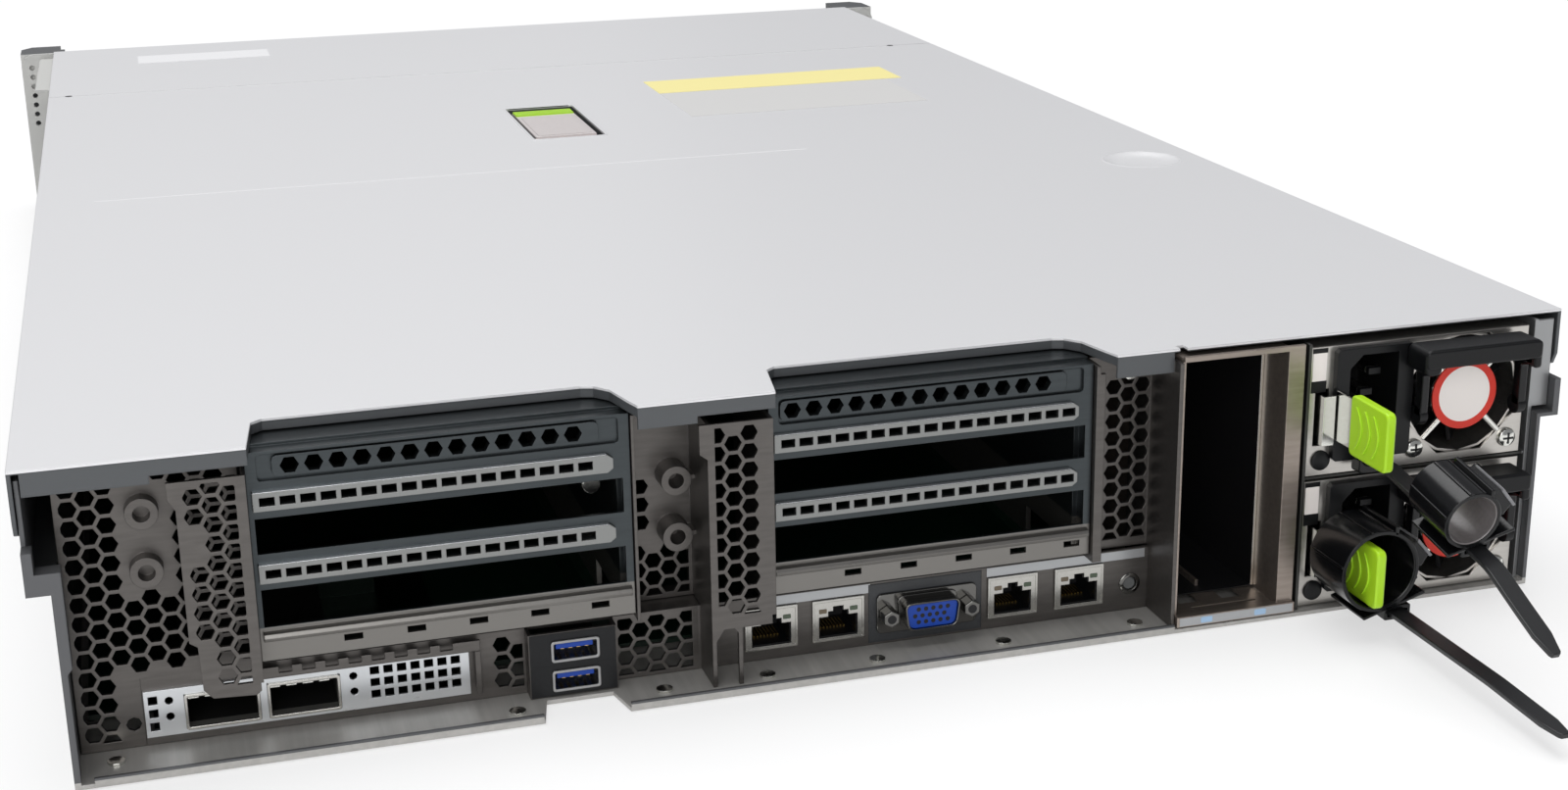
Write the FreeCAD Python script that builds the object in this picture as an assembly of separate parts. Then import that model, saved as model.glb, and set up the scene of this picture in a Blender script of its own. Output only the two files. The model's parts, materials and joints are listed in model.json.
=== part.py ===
import FreeCAD, Part
import math
import os

# 2U rack server. Millimetres. Origin: centre of the floor's underside.
# +Z up, the drive front faces -Y, the connector panel faces +Y, the power supplies are on the -X side.

# ---- driving dimensions ----------------------------------------------------------------------------
HEIGHT = 87.0            # two rack units less the running gap
HALF_TOP = 224.0         # half width of the cover
EAR_REACH = 17.3         # how far each rack ear stands out past the cover
RAIL_STEP = 6.1          # how far the tub's walls stand in beside the slide rails
STEP_Z = 56.0            # height of the rail step
SHEET = 1.2              # tub sheet
COVER_T = 1.0            # cover sheet
SIDE_GAP = 0.4           # between the cover's sides and the tub
Y_EAR = -336.0           # rear plane of the rack ears
Y_FACE = -363.5          # front plane of drives and ear housings
Y_SEAM = -188.0          # seam between fixed front panel and sliding cover
Y_TAB = 368.5            # rear edge of the cover tabs and of the columns
Y_RECESS = 346.2         # rear edge of the cover above the expansion slots
Y_SLOT = 360.0           # rear face of the expansion slot brackets
Y_PANEL = 355.0          # rear face of the connector panel
Y_LIP = 373.3            # rear edge of the floor
Y_BAY = 371.6            # rear face of drive bay and supply bay
SLOT_PITCH = 20.32       # expansion slot pitch
HEX_AF = 4.3             # hexagonal vent, across flats
HEX_PITCH = 5.35         # hexagonal vent, row pitch
PSU_W, PSU_H, PSU_L = 73.5, 40.0, 185.0
PSU_SIDE = 3.3           # between the supplies and the tub's wall
PSU_Z = (43.4, 1.6)      # undersides of upper and lower supply
PSU_Y = 370.0            # rear face of the supplies
BAY_W = 38.9             # rear drive bay, over its frame
DRIVE_PITCH = 16.9       # front drive pitch
FAN_PITCH = 70.0
GAP = 0.3                # clearance between parts that move past each other

# ---- sizes that follow -------------------------------------------------------------------------------
HALF_UPPER = HALF_TOP - COVER_T - SIDE_GAP         # half width of the tub above the rail step
HALF_LOWER = HALF_UPPER - RAIL_STEP                # half width of the tub beside the slide rails
HALF_EAR = HALF_TOP + EAR_REACH                    # half width over the rack ears
UNDER_COVER = HEIGHT - COVER_T                     # underside of the cover sheet
WALL_TOP = HEIGHT - 3.0                            # top of the tub's side walls
PSU_X = PSU_SIDE + PSU_W - HALF_LOWER + SHEET      # +X side of both power supplies
BAY_X = PSU_X + 2.6                                # -X edge of the rear drive bay
RIB_X = BAY_X + BAY_W                              # -X face of the rib on its other side
DRIVE_COUNT = int(2 * (HALF_LOWER - 12.0) / DRIVE_PITCH)
CAGE_HALF = DRIVE_COUNT * DRIVE_PITCH / 2 + 1.6    # half width of the front drive cage
FAN_COUNT = int(2 * HALF_LOWER / FAN_PITCH)

V = FreeCAD.Vector
os.makedirs("parts", exist_ok=True)


# ---- helpers ---------------------------------------------------------------------------------------
def box(x0, x1, y0, y1, z0, z1):
    x0, x1, y0, y1, z0, z1 = min(x0, x1), max(x0, x1), min(y0, y1), max(y0, y1), min(z0, z1), max(z0, z1)
    return Part.makeBox(x1 - x0, y1 - y0, z1 - z0, V(x0, y0, z0))


def point(axis, u, v, a):
    return {"x": V(a, u, v), "y": V(u, a, v), "z": V(u, v, a)}[axis]


def plate(outline, holes, axis, a0, a1):
    """Flat plate with any number of polygon holes, from a0 to a1 along the axis."""
    wires = [Part.makePolygon([point(axis, u, v, a0) for u, v in pts + pts[:1]]) for pts in [outline] + holes]
    face = Part.makeFace(wires, "Part::FaceMakerBullseye") if holes else Part.Face(wires[0])
    return face.extrude(point(axis, 0, 0, a1 - a0))


def rect(u0, u1, v0, v1, r=0.0, n=2):
    """Rectangle outline, with rounded corners when r is given."""
    u0, u1, v0, v1 = min(u0, u1), max(u0, u1), min(v0, v1), max(v0, v1)
    if r <= 0:
        return [(u0, v0), (u1, v0), (u1, v1), (u0, v1)]
    pts = []
    for cu, cv, a in ((u1 - r, v0 + r, -90), (u1 - r, v1 - r, 0), (u0 + r, v1 - r, 90), (u0 + r, v0 + r, 180)):
        for k in range(n + 1):
            t = math.radians(a + 90.0 * k / n)
            pts.append((cu + r * math.cos(t), cv + r * math.sin(t)))
    return pts


def ngon(cu, cv, r, n=12, turn=0.0):
    return [(cu + r * math.cos(2 * math.pi * (k + turn) / n), cv + r * math.sin(2 * math.pi * (k + turn) / n))
            for k in range(n)]


def hexagon(cu, cv, af):
    return ngon(cu, cv, af / math.sqrt(3), 6)


def clip(poly, u0, u1, v0, v1):
    """Part of a polygon inside a rectangle."""
    for k, lim, sign in ((0, u0, 1), (0, u1, -1), (1, v0, 1), (1, v1, -1)):
        out = []
        for i, p in enumerate(poly):
            q = poly[(i + 1) % len(poly)]
            dp, dq = sign * (p[k] - lim), sign * (q[k] - lim)
            if dp >= 0:
                out.append(p)
            if (dp > 0) != (dq > 0) and dp != dq:
                t = dp / (dp - dq)
                out.append((p[0] + t * (q[0] - p[0]), p[1] + t * (q[1] - p[1])))
        poly = []
        for p in out:
            if not poly or abs(p[0] - poly[-1][0]) + abs(p[1] - poly[-1][1]) > 0.02:
                poly.append(p)
        if len(poly) > 1 and abs(poly[0][0] - poly[-1][0]) + abs(poly[0][1] - poly[-1][1]) < 0.02:
            poly.pop()
        if len(poly) < 3:
            return []
    return poly


def area(poly):
    return 0.5 * abs(sum(p[0] * q[1] - q[0] * p[1] for p, q in zip(poly, poly[1:] + poly[:1])))


def honeycomb(u0, u1, v0, v1, start=0.0, keep_out=(), least=0.4):
    """Hexagonal vents that fill a rectangle; edge vents are cut straight, slivers are left out."""
    full = area(hexagon(0, 0, HEX_AF))
    step = HEX_PITCH * math.sqrt(3) / 2
    vents, col, u = [], 0, u0 + start
    while u < u1 + step:
        v = v0 + (HEX_PITCH / 2 if col % 2 else 0.0)
        while v < v1 + HEX_PITCH:
            poly = clip(hexagon(u, v, HEX_AF), u0, u1, v0, v1)
            if poly and area(poly) > least * full and not any(
                    a < u < b and c < v < d for a, b, c, d in keep_out):
                vents.append(poly)
            v += HEX_PITCH
        u += step
        col += 1
    return vents


def cyl(p, axis, r, length):
    return Part.makeCylinder(r, length, V(*p), {"x": V(1, 0, 0), "y": V(0, 1, 0), "z": V(0, 0, 1)}[axis])


def drum(cu, cv, r, axis, a0, a1, n=16):
    return plate(ngon(cu, cv, r, n), [], axis, a0, a1)


def tube(cu, cv, r_out, r_in, axis, a0, a1, n=16):
    return plate(ngon(cu, cv, r_out, n), [ngon(cu, cv, r_in, n)], axis, a0, a1)


def fuse(*shapes):
    shapes = list(shapes)
    out = shapes[0]
    if len(shapes) > 1:
        out = out.multiFuse(shapes[1:])
    return out.removeSplitter()


def group(shapes):
    return Part.makeCompound(list(shapes))


def mirror_x(shape):
    return shape.mirror(V(0, 0, 0), V(1, 0, 0))


def save(name, shape):
    shape.exportStep("parts/" + name + ".step")


# ---- tub: floor, stepped side walls, rear lip ---------------------------------------------------------
def chassis_tub():
    lip = [(-HALF_LOWER, Y_EAR), (HALF_LOWER, Y_EAR), (HALF_LOWER, Y_LIP), (93.0, Y_LIP), (90.5, 361.8),
           (71.5, 361.8), (69.0, Y_LIP), (-HALF_LOWER, Y_LIP)]
    floor = plate(lip, [], "z", 0, SHEET)
    hems = [box(93.2, HALF_LOWER - 5, Y_LIP - 1.0, Y_LIP, SHEET, 2.6),
            box(RIB_X + 0.6, 68.8, Y_LIP - 1.0, Y_LIP, SHEET, 2.6)]
    profile = [(HALF_LOWER, 0), (HALF_LOWER, STEP_Z - SHEET), (HALF_UPPER, STEP_Z - SHEET), (HALF_UPPER, WALL_TOP),
               (HALF_UPPER - SHEET, WALL_TOP), (HALF_UPPER - SHEET, STEP_Z), (HALF_LOWER - SHEET, STEP_Z),
               (HALF_LOWER - SHEET, 0)]
    wall = plate(profile, [], "y", Y_EAR, 367.3)
    edge = [(HALF_LOWER, 0), (HALF_LOWER, STEP_Z - SHEET), (HALF_UPPER, STEP_Z - SHEET), (HALF_UPPER, 66.5),
            (HALF_UPPER - 2.6, 66.5), (HALF_UPPER - 2.6, 60.6), (HALF_LOWER - 2.9, 60.6), (HALF_LOWER - 2.9, 34.0),
            (HALF_LOWER - 1.7, 32.5), (HALF_LOWER - 1.7, 0)]
    edge_plate = plate(edge, [], "y", 367.3, Y_LIP)
    right_edge = plate([(HALF_LOWER, 0), (HALF_LOWER, STEP_Z - SHEET), (HALF_UPPER, STEP_Z - SHEET),
                        (HALF_UPPER, 66.5), (HALF_UPPER - 2.0, 66.5), (HALF_UPPER - 2.0, STEP_Z),
                        (HALF_LOWER - SHEET, STEP_Z), (HALF_LOWER - SHEET, 0)],
                       [], "y", 367.3, Y_LIP)
    posts = [drum(x, y, 3.2, "z", SHEET, 2.0, 8) for x in (-110, 40, 190) for y in (-90, 110, 300)]
    return fuse(floor, *hems, wall, edge_plate, mirror_x(wall), mirror_x(right_edge), *posts)


def front_top_panel():
    top = plate([(-HALF_TOP, Y_EAR), (HALF_TOP, Y_EAR), (HALF_TOP, Y_SEAM - 0.7), (-HALF_TOP, Y_SEAM - 0.7)],
                [], "z", HEIGHT - COVER_T, HEIGHT)
    side = box(HALF_UPPER, HALF_TOP, Y_EAR, Y_SEAM - 0.7, HEIGHT - 18.0, UNDER_COVER)
    shelf = box(16.0 - HALF_TOP, HALF_TOP - 16.0, Y_SEAM - 0.7 - COVER_T, Y_SEAM - 0.7, HEIGHT - 2.4, UNDER_COVER)
    return fuse(top, side, mirror_x(side), shelf)


# ---- sliding cover ----------------------------------------------------------------------------------
LATCH_X = (-8.0, 22.7)
LATCH_Y = (-78.0, -3.0)
LATCH_PIVOT = (-9.0, HEIGHT - 3.6)
DENT = (24.0 - HALF_TOP, 124.0, 15.0)


def cover_outline(inset=0.0):
    """Plan of the cover with its two recesses above the expansion slots."""
    t, r = Y_TAB - inset, Y_RECESS - inset
    s = [(0.0, 0.0), (0.3, 0.05), (0.62, 0.25), (0.86, 0.75), (1.0, 1.0)]
    pts = [(-HALF_TOP, Y_SEAM), (HALF_TOP, Y_SEAM), (HALF_TOP, t), (165.5 + inset, t), (163.2 + inset, r + 2.5),
           (160.2 + inset, r)]
    pts += [(74.0 - inset - 11.0 * a, r + (t - r) * b) for a, b in s]
    pts += [(24.4 + inset, t), (21.2 + inset, r + 2.5), (18.4 + inset, r)]
    pts += [(-66.5 - inset - 11.0 * a, r + (t - r) * b) for a, b in s]
    pts += [(RIB_X, t), (RIB_X, t - 3.0), (RIB_X - 2.4, t - 3.0), (RIB_X - 2.4, t), (-HALF_TOP, t)]
    return pts


def top_cover():
    x0, x1 = LATCH_X
    y0, y1 = LATCH_Y
    top = plate(cover_outline(), [rect(x0, x1, y0, y1, 1.5), ngon(DENT[0], DENT[1], DENT[2], 20)],
                "z", HEIGHT - COVER_T, HEIGHT)
    drop = UNDER_COVER
    side = plate([(Y_SEAM, drop), (Y_TAB, drop), (Y_TAB, HEIGHT - 14.0), (Y_TAB - 1.6, HEIGHT - 17.6),
                  (Y_TAB - 5.0, HEIGHT - 19.0), (Y_SEAM, HEIGHT - 19.0)], [], "x", HALF_UPPER + GAP, HALF_TOP)
    pocket_floor = HEIGHT - 6.6
    pocket = plate(rect(x0 - 0.8, x1 + 0.8, y0 - 0.8, y1 + 0.8), [rect(x0, x1, y0, y1)], "z", pocket_floor, drop)
    pocket_base = box(x0 - 0.8, x1 + 0.8, y0 - 0.8, y1 + 0.8, pocket_floor - 0.8, pocket_floor)
    cup = ngon(DENT[0], DENT[1], DENT[2] + 0.8, 20)
    dent = plate(cup, [ngon(DENT[0], DENT[1], DENT[2], 20)], "z", HEIGHT - 2.2, drop)
    dent_base = plate(cup, [], "z", HEIGHT - 3.0, HEIGHT - 2.2)
    ridge = box(24.0 - HALF_TOP, HALF_TOP - 19.0, Y_SEAM, Y_SEAM + COVER_T, HEIGHT - 2.8, drop)
    # walls, latch tray and folds are solids of their own, so a hull round each leaves the space below free
    return group([fuse(top, dent, dent_base, ridge), fuse(pocket, pocket_base), side, mirror_x(side),
                  *rear_fold(drop)])


def rear_fold(drop):
    """The cover's rear edge, folded down behind the columns and round both recesses."""
    tab, recess = (Y_TAB - 1, Y_TAB), (Y_RECESS - 1, Y_RECESS)
    left = [box(190.0, HALF_TOP - 3.0, *tab, drop - 6.2, drop), box(165.5, 190.0, *tab, drop - 4.0, drop),
            box(73.0, 161.2, *recess, drop - 2.3, drop)]
    middle = [box(46.5, 63.0, *tab, drop - 5.8, drop), box(24.4, 46.5, *tab, drop - 3.8, drop),
              box(-67.5, 19.4, *recess, drop - 2.3, drop)]
    strip_out, strip_in = cover_outline(), cover_outline(1.0)
    curves = [plate(strip_out[i:j + 1] + strip_in[i:j + 1][::-1], [], "z", drop - 2.3, drop)
              for i, j in ((3, 5), (6, 10), (11, 13), (14, 18))]
    end = box(RIB_X + 1.6, -77.5, *tab, drop - 6.0, drop)
    return [fuse(*left, *middle, *curves), end]


def cover_latch():
    x0, x1 = LATCH_X
    y, z = LATCH_PIVOT
    plate_top = plate([(-72.5, z + 0.9), (-66.0, z), (-12.0, z), (-12.0, z + 2.8), (-66.0, z + 2.8), (-72.5, z + 2.4)],
                      [], "x", x0 + 2.0, x1 - 2.0)
    heel = cyl((x0 + GAP, y, z + 0.4), "x", 2.0, x1 - x0 - 2 * GAP)
    arm = box(x0 + 2.0, x1 - 2.0, -12.0, y, z - 1.2, z + 1.8)
    hook = box(2.0, 12.0, -20.0, -14.0, z - 2.0, z)
    return fuse(plate_top, heel, arm, hook)


# ---- rear wall ---------------------------------------------------------------------------------------
BOSSES_LEFT = ((193.0, 68.6), (193.2, 52.2))
BOSSES_MID = ((49.8, 59.3), (49.8, 42.5))
CARD = (110.6, 197.7, 3.9, 17.4)                   # network card bracket
CAGES = ((167.7, 187.1), (146.2, 165.3))           # transceiver cages, X ranges
CAGE_Z = (5.0, 14.9)
JACKS = (23.2, 2.9, -51.6, -73.0)                  # network jack centres
JACK_W, JACK_Z = 16.4, (3.9, 17.4)
VGA = (-24.4, 11.0)
USB_X, USB_Z = 81.5, (15.0, 6.1)
ID_BUTTON = (-89.8, 9.8)
MESH_Y = 351.8                                     # vented plate between second riser and drive bay


def rear_panel():
    keep = ((160.0, 205.5, -5, 22.5), (184.0, 202.0, 60.0, 77.0), (184.5, 202.0, 44.0, 61.0))
    side = HALF_LOWER - 1.6
    holes = honeycomb(168.6, side - 1.5, 3.6, 78.5, 1.0, keep)
    holes.append(ngon(200.7, 8.0, 2.0, 8))
    wall = plate([(side, 1.3), (side, WALL_TOP - 1.0), (168.0, WALL_TOP - 1.0), (168.0, 21.0), (198.0, 21.0), (198.0, 1.3)], holes,
                 "y", Y_PANEL - 1.2, Y_PANEL)
    card_window = rect(CARD[0] + 1.0, CARD[1] - 1.0, CARD[2] - 0.3, CARD[3] - 1.0)
    strip = plate(rect(94.6, 198.0, 1.3, 21.0), [card_window] + honeycomb(95.4, 104.2, 3.6, 19.6, 1.2), "y",
                  Y_PANEL - 1.2, Y_PANEL)
    bosses = [cyl((x, Y_PANEL, z), "y", 4.3, 4.2).cut(cyl((x, Y_PANEL, z), "y", 2.2, 5)) for x, z in BOSSES_LEFT]
    usb = plate(rect(69.6, 94.6, 1.3, 20.6),
                [rect(USB_X - 6.8, USB_X + 6.8, z - 3.1, z + 3.1) for z in USB_Z], "y", 358.8, 360.0)
    cheeks = [box(94.6, 93.6, Y_PANEL, 358.8, 1.3, 20.6), box(69.6, 70.6, Y_PANEL, 358.8, 1.3, 20.6)]
    holes = [rect(x - JACK_W / 2 + 0.8, x + JACK_W / 2 - 0.8, JACK_Z[0] + 0.8, JACK_Z[1] - 0.8) for x in JACKS]
    holes += [rect(VGA[0] - 9.0, VGA[0] + 9.0, VGA[1] - 5.0, VGA[1] + 5.0), ngon(ID_BUTTON[0], ID_BUTTON[1], 2.3, 10)]
    ports = plate(rect(44.5, RIB_X + 1.2, 1.3, 21.0), holes, "y", Y_PANEL - 1.2, Y_PANEL)
    vent = plate(rect(44.5, 69.6, 1.3, 21.0), honeycomb(46.5, 68.2, 2.4, 19.8, 1.2), "y", Y_PANEL - 1.2, Y_PANEL)
    roof = box(44.0, 167.0, 338.0, Y_PANEL - 1.2, 19.8, 21.0)
    return group([fuse(wall, *bosses), strip, fuse(usb, *cheeks), ports, vent, roof])


def rear_columns():
    keep1 = ((176.8, 190.0, 57.5, 65.5),)
    col1 = [(186.2, 79.4), (186.2, 74.8), (184.4, 71.8), (184.4, 34.9), (182.4, 33.5), (182.0, 21.2), (179.7, 18.5),
            (168.6, 17.9), (167.2, 19.0), (167.2, 79.4)]
    vents = [p for p in honeycomb(169.3, 182.4, 21.5, 78.4, 1.5, keep1) if not
             (sum(u for u, v in p) / len(p) > 178.0 and sum(v for u, v in p) / len(p) < 36.5)]
    column_1 = plate(col1, vents, "y", Y_TAB - 1.2, Y_TAB)
    cheek_1 = box(166.5, 167.2, 330.0, Y_TAB, 21.2, 79.4)
    col2 = [(46.2, 79.4), (46.2, 71.0), (42.8, 68.4), (42.8, 20.5), (26.4, 20.5), (26.4, 79.4)]
    column_2 = plate(col2, honeycomb(29.8, 41.9, 22.5, 78.2, 2.3), "y", Y_TAB - 1.2, Y_TAB)
    foot_2 = box(42.8, 44.0, 340.0, Y_TAB, 21.2, 79.4)
    leg_2 = box(42.8, 44.0, Y_PANEL, Y_TAB, 1.3, 21.2)
    leg_3 = plate([(42.8, 20.5), (42.8, 15.0), (40.5, 18.5), (37.6, 18.5), (36.4, 17.0), (36.4, 1.3), (35.2, 1.3),
                   (35.2, 18.5), (26.4, 18.5), (26.4, 20.5)], [], "y", Y_TAB - 1.2, Y_TAB)
    inner_2 = box(25.2, 26.4, 330.0, Y_TAB, 21.2, 79.4)
    back = plate(rect(44.0, 62.6, 21.2, 82.0), honeycomb(45.0, 61.6, 22.4, 38.0, 1.2) + [ngon(58.6, 45.0, 2.4, 6),
                 ngon(58.6, 50.4, 2.4, 6), ngon(58.6, 55.8, 2.4, 6)], "y", 345.8, 347.0)
    bosses = [cyl((x, 347.0, z), "y", 4.3, 8.0).cut(cyl((x, 347.0, z), "y", 2.2, 9)) for x, z in BOSSES_MID]
    webs = [box(44.0, 46.0, 347.0, 353.0, z - 0.6, z + 0.6) for x, z in BOSSES_MID]
    cheek_4 = box(62.6, 63.5, 330.0, 361.0, 21.2, 82.0)
    post_5 = box(-75.4, -74.2, MESH_Y, 362.0, 21.2, 82.0)
    flange_5 = box(-77.0, -75.4, 360.8, 362.0, 21.2, 79.6)
    mesh_3 = plate(rect(RIB_X + 1.2, -75.4, 21.2, 82.0), honeycomb(RIB_X + 1.8, -80.0, 24.0, 76.0, 2.2),
                   "y", MESH_Y, MESH_Y + 1.2)
    rib = box(RIB_X, RIB_X + 1.2, 338.8, Y_BAY, 1.3, WALL_TOP - 0.6)
    return group([fuse(column_1, cheek_1), fuse(column_2, foot_2, leg_2, leg_3, inner_2),
                  fuse(back, *bosses, *webs, cheek_4), fuse(post_5, flange_5, mesh_3, rib)])


# ---- expansion slot brackets ---------------------------------------------------------------------------
def slot_bracket(xa, xb, first_vent):
    """Slot frame with two open slots below a vented blank; xa is the +X side."""
    holes = [rect(xa - 3.0, xb + 3.0, 74.2, 81.6, 1.0), rect(xa - 1.4, xb + 2.2, 53.9, 63.9),
             rect(xa - 1.4, xb + 2.2, 33.1, 43.8)]
    bars, bar_holes = [], []
    for z in (69.0, 69.0 - SLOT_PITCH):
        count = int((first_vent - xb - 7.8) / 5.3) + 1
        vents = [rect(first_vent - 5.3 * k - 2.0, first_vent - 5.3 * k + 2.0, z - 1.2, z + 1.2) for k in range(count)]
        bar_holes += vents
        bars.append(plate([(xa - 1.2, z - 2.6), (xb + 6.6, z - 2.6), (xb + 5.0, z - 1.4), (xb + 5.0, z + 1.4),
                           (xb + 6.6, z + 2.6), (xa - 1.2, z + 2.6)], vents, "y", Y_SLOT, Y_SLOT + 1.6))
    notches = [rect(xa - 22 - 17 * k, xa - 27 - 17 * k, 26.4, 28.2) for k in range(5)]
    face = plate(rect(xa, xb, 23.4, 82.4), holes + bar_holes + notches, "y", Y_SLOT - 1.2, Y_SLOT)
    rim = plate([(Y_SLOT, 29.2), (Y_SLOT + 1.8, 29.6), (Y_SLOT + 2.2, 30.6), (Y_SLOT + 1.8, 31.6), (Y_SLOT, 32.0)],
                [], "x", xb + 1.0, xa - 1.0)
    ledge = box(xa, xb, 330.0, 355.4, 82.2, 83.3)
    joggle = box(xa, xb, 355.4, Y_SLOT - 1.2, 81.4, 82.4)
    joggle_up = box(xa, xb, 354.4, 355.4, 81.4, 83.3)
    cheeks = [box(xa, xa - 1.0, 330.0, Y_SLOT - 1.2, 23.4, 82.2), box(xb, xb + 1.0, 330.0, Y_SLOT - 1.2, 23.4, 82.2)]
    cheeks = [c.cut(box(xa + 1, xb - 1, 354.4, 360, 82.0, 84)) for c in cheeks]
    board = plate([(200.0, 24.0), (200.0, 66.0), (353.0, 66.0), (353.0, 24.0), (318.0, 24.0), (318.0, 15.0),
                   (206.0, 15.0), (206.0, 24.0)], [], "x", xb + 1.0, xb + 2.6)
    return fuse(face, *bars, rim, ledge, joggle, joggle_up, *cheeks, board)


def slot_blank(xa, xb, first_vent):
    vents = [hexagon(first_vent - 6.28 * k, 78.2, 4.3) for k in range(13)]
    back = plate(rect(xa - 1.6, xb + 1.6, 72.8, 81.2), vents, "y", Y_SLOT - 2.4, Y_SLOT - 1.25)
    boss = plate(rect(min(first_vent + 4.6, xa - 3.3), xb + 8.5, 75.3, 81.1, 1.4), vents, "y", Y_SLOT - 1.25, Y_SLOT + 0.4)
    return fuse(back, boss)


SLOTS = ((166.2, 63.8, 161.3, 154.7), (24.2, -73.9, 19.0, 17.3))


# ---- drive bay and supply bay at the rear -----------------------------------------------------------------
BAY_SHELF = 3.0
BAY_OPEN_Z = (4.7, 83.6)


def drive_bay_frame():
    x0, x1 = BAY_X + 5.3, RIB_X - 0.2
    z0, z1 = BAY_OPEN_Z
    frame = plate([(x1, 1.5), (BAY_X, 1.5), (BAY_X, 85.2), (x1, 85.2), (x1, z1), (x0, z1), (x0, z0), (x1, z0)], [],
                  "y", Y_BAY - 1.2, Y_BAY)
    sides = [box(x, x - 1.0, 262.0, Y_BAY - 1.2, BAY_SHELF, z1 + 1.0) for x in (x1, x0)]
    squares = [rect(x, x - 7.0, 352.0, 362.0) for x in (x1 - 6.3, x1 - 20.3)]
    shelf = plate(rect(x1 - 1.0, x0, 262.0, Y_BAY - 1.2), squares + [rect(x1 - 8.0, x0 + 4.0, 365.5, 366.7)],
                  "z", BAY_SHELF, BAY_SHELF + 1.0)
    roof = box(x1 - 1.0, x0, 262.0, Y_BAY - 1.2, z1, z1 + 1.0)
    back = plate(rect(x1 - 1.0, x0, BAY_SHELF + 1.0, z1), [rect(x1 - 6, x1 - 16, 30, 60), rect(x0 + 3, x0 + 13, 30, 60)],
                 "y", 262.0, 263.2)
    middle = (x0 + x1) / 2
    guides = [box(middle - 0.5, middle + 0.5, 275.0, 352.0, *z)
              for z in ((BAY_SHELF + 1.0, BAY_SHELF + 3.5), (z1 - 2.6, z1))]
    strip = box(BAY_X, x1, Y_BAY - 1.2, Y_LIP - 0.2, 1.5, z0)
    return fuse(frame, *sides, shelf, roof, back, *guides, strip)


def psu_bay():
    y0 = PSU_Y - PSU_L - 15.0
    x0, x1 = SHEET + 1.3 - HALF_LOWER, PSU_X + 0.5
    left = box(x1 + 0.9, x1, y0, Y_BAY, 1.3, HEIGHT - 2.0)
    divider = box(x1, x0, y0, Y_BAY - 2.0, PSU_Z[1] + PSU_H + 0.5, PSU_Z[0] - 0.5)
    back = plate(rect(x1, x0, 1.3, HEIGHT - 2.0), [rect(PSU_X - 10.2, PSU_X - 63.2, z + 4.5, z + 35.5) for z in PSU_Z],
                 "y", y0, y0 + 1.0)
    corner = plate(rect(x0 - 0.2, 2.2 - HALF_UPPER, 57.4, WALL_TOP + 0.6), [], "y", 369.0, 370.2)
    right = box(x0, x0 - 1.2, y0, 370.2, 1.3, HEIGHT - 2.0)
    return fuse(left, divider, back, corner, right)


# ---- connectors --------------------------------------------------------------------------------------------
def network_card():
    x0, x1, z0, z1 = CARD
    holes = [rect(a - 0.2, b + 0.2, CAGE_Z[0] - 0.2, CAGE_Z[1] + 0.2) for a, b in CAGES]
    holes += [rect(194.2, 196.6, z - 1.2, z + 1.2) for z in (14.4, 10.6, 6.8)]
    holes += [ngon(x, z, 1.15, 8) for x in (191.2, 142.4) for z in (13.9, 9.3)]
    holes += [rect(x - 1.25, x + 1.25, z - 1.15, z + 1.15) for x in (136.6, 132.9, 129.2, 125.5, 121.8, 118.1, 114.4)
              for z in (14.7, 11.2, 7.7)]
    face = plate(rect(x0, x1, z0 - 0.1, z1 - 0.2), holes, "y", Y_PANEL, Y_PANEL + 0.9)
    board = box(x0 + 2.0, x1 - 2.0, 240.0, Y_PANEL, 3.7, CAGE_Z[0] - 0.1)
    chip = box(128.0, 158.0, 246.0, 276.0, CAGE_Z[0] - 0.1, 12.0)
    return fuse(face, board, chip)


def transceiver_cages():
    cages = []
    for a, b in CAGES:
        tube_ = plate(rect(a, b, *CAGE_Z), [rect(a + 0.6, b - 0.6, CAGE_Z[0] + 0.6, CAGE_Z[1] - 0.6)], "y",
                      285.0, Y_PANEL + 1.4)
        end = box(a, b, 284.0, 285.0, *CAGE_Z)
        cages.append(fuse(tube_, end))
    return group(cages)


def usb_ports():
    ports = []
    for z in USB_Z:
        shell = plate(rect(USB_X - 6.55, USB_X + 6.55, z - 2.85, z + 2.85),
                      [rect(USB_X - 6.1, USB_X + 6.1, z - 2.4, z + 2.4)], "y", 343.0, 360.5)
        end = box(USB_X - 6.55, USB_X + 6.55, 342.0, 343.0, z - 2.85, z + 2.85)
        tongue = box(USB_X - 5.2, USB_X + 5.2, 343.0, 358.8, z + 0.2, z + 1.9)
        ports.append(fuse(shell, end, tongue))
    return group(ports)


def network_ports():
    ports = []
    for x in JACKS:
        w, (z0, z1) = JACK_W / 2 - 0.9, JACK_Z
        z0, z1 = z0 + 0.9, z1 - 0.9
        opening = [(x - 5.9, z0 + 1.0), (x - 5.9, z0 + 7.6), (x - 3.1, z0 + 7.6), (x - 3.1, z0 + 9.2), (x - 1.6, z0 + 9.2),
                   (x - 1.6, z0 + 10.6), (x + 1.6, z0 + 10.6), (x + 1.6, z0 + 9.2), (x + 3.1, z0 + 9.2),
                   (x + 3.1, z0 + 7.6), (x + 5.9, z0 + 7.6), (x + 5.9, z0 + 1.0)]
        shell = plate(rect(x - w, x + w, z0, z1), [opening], "y", 340.0, Y_PANEL + 0.6)
        end = box(x - w, x + w, 338.6, 340.0, z0, z1)
        ports.append(fuse(shell, end))
    return group(ports)


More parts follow.
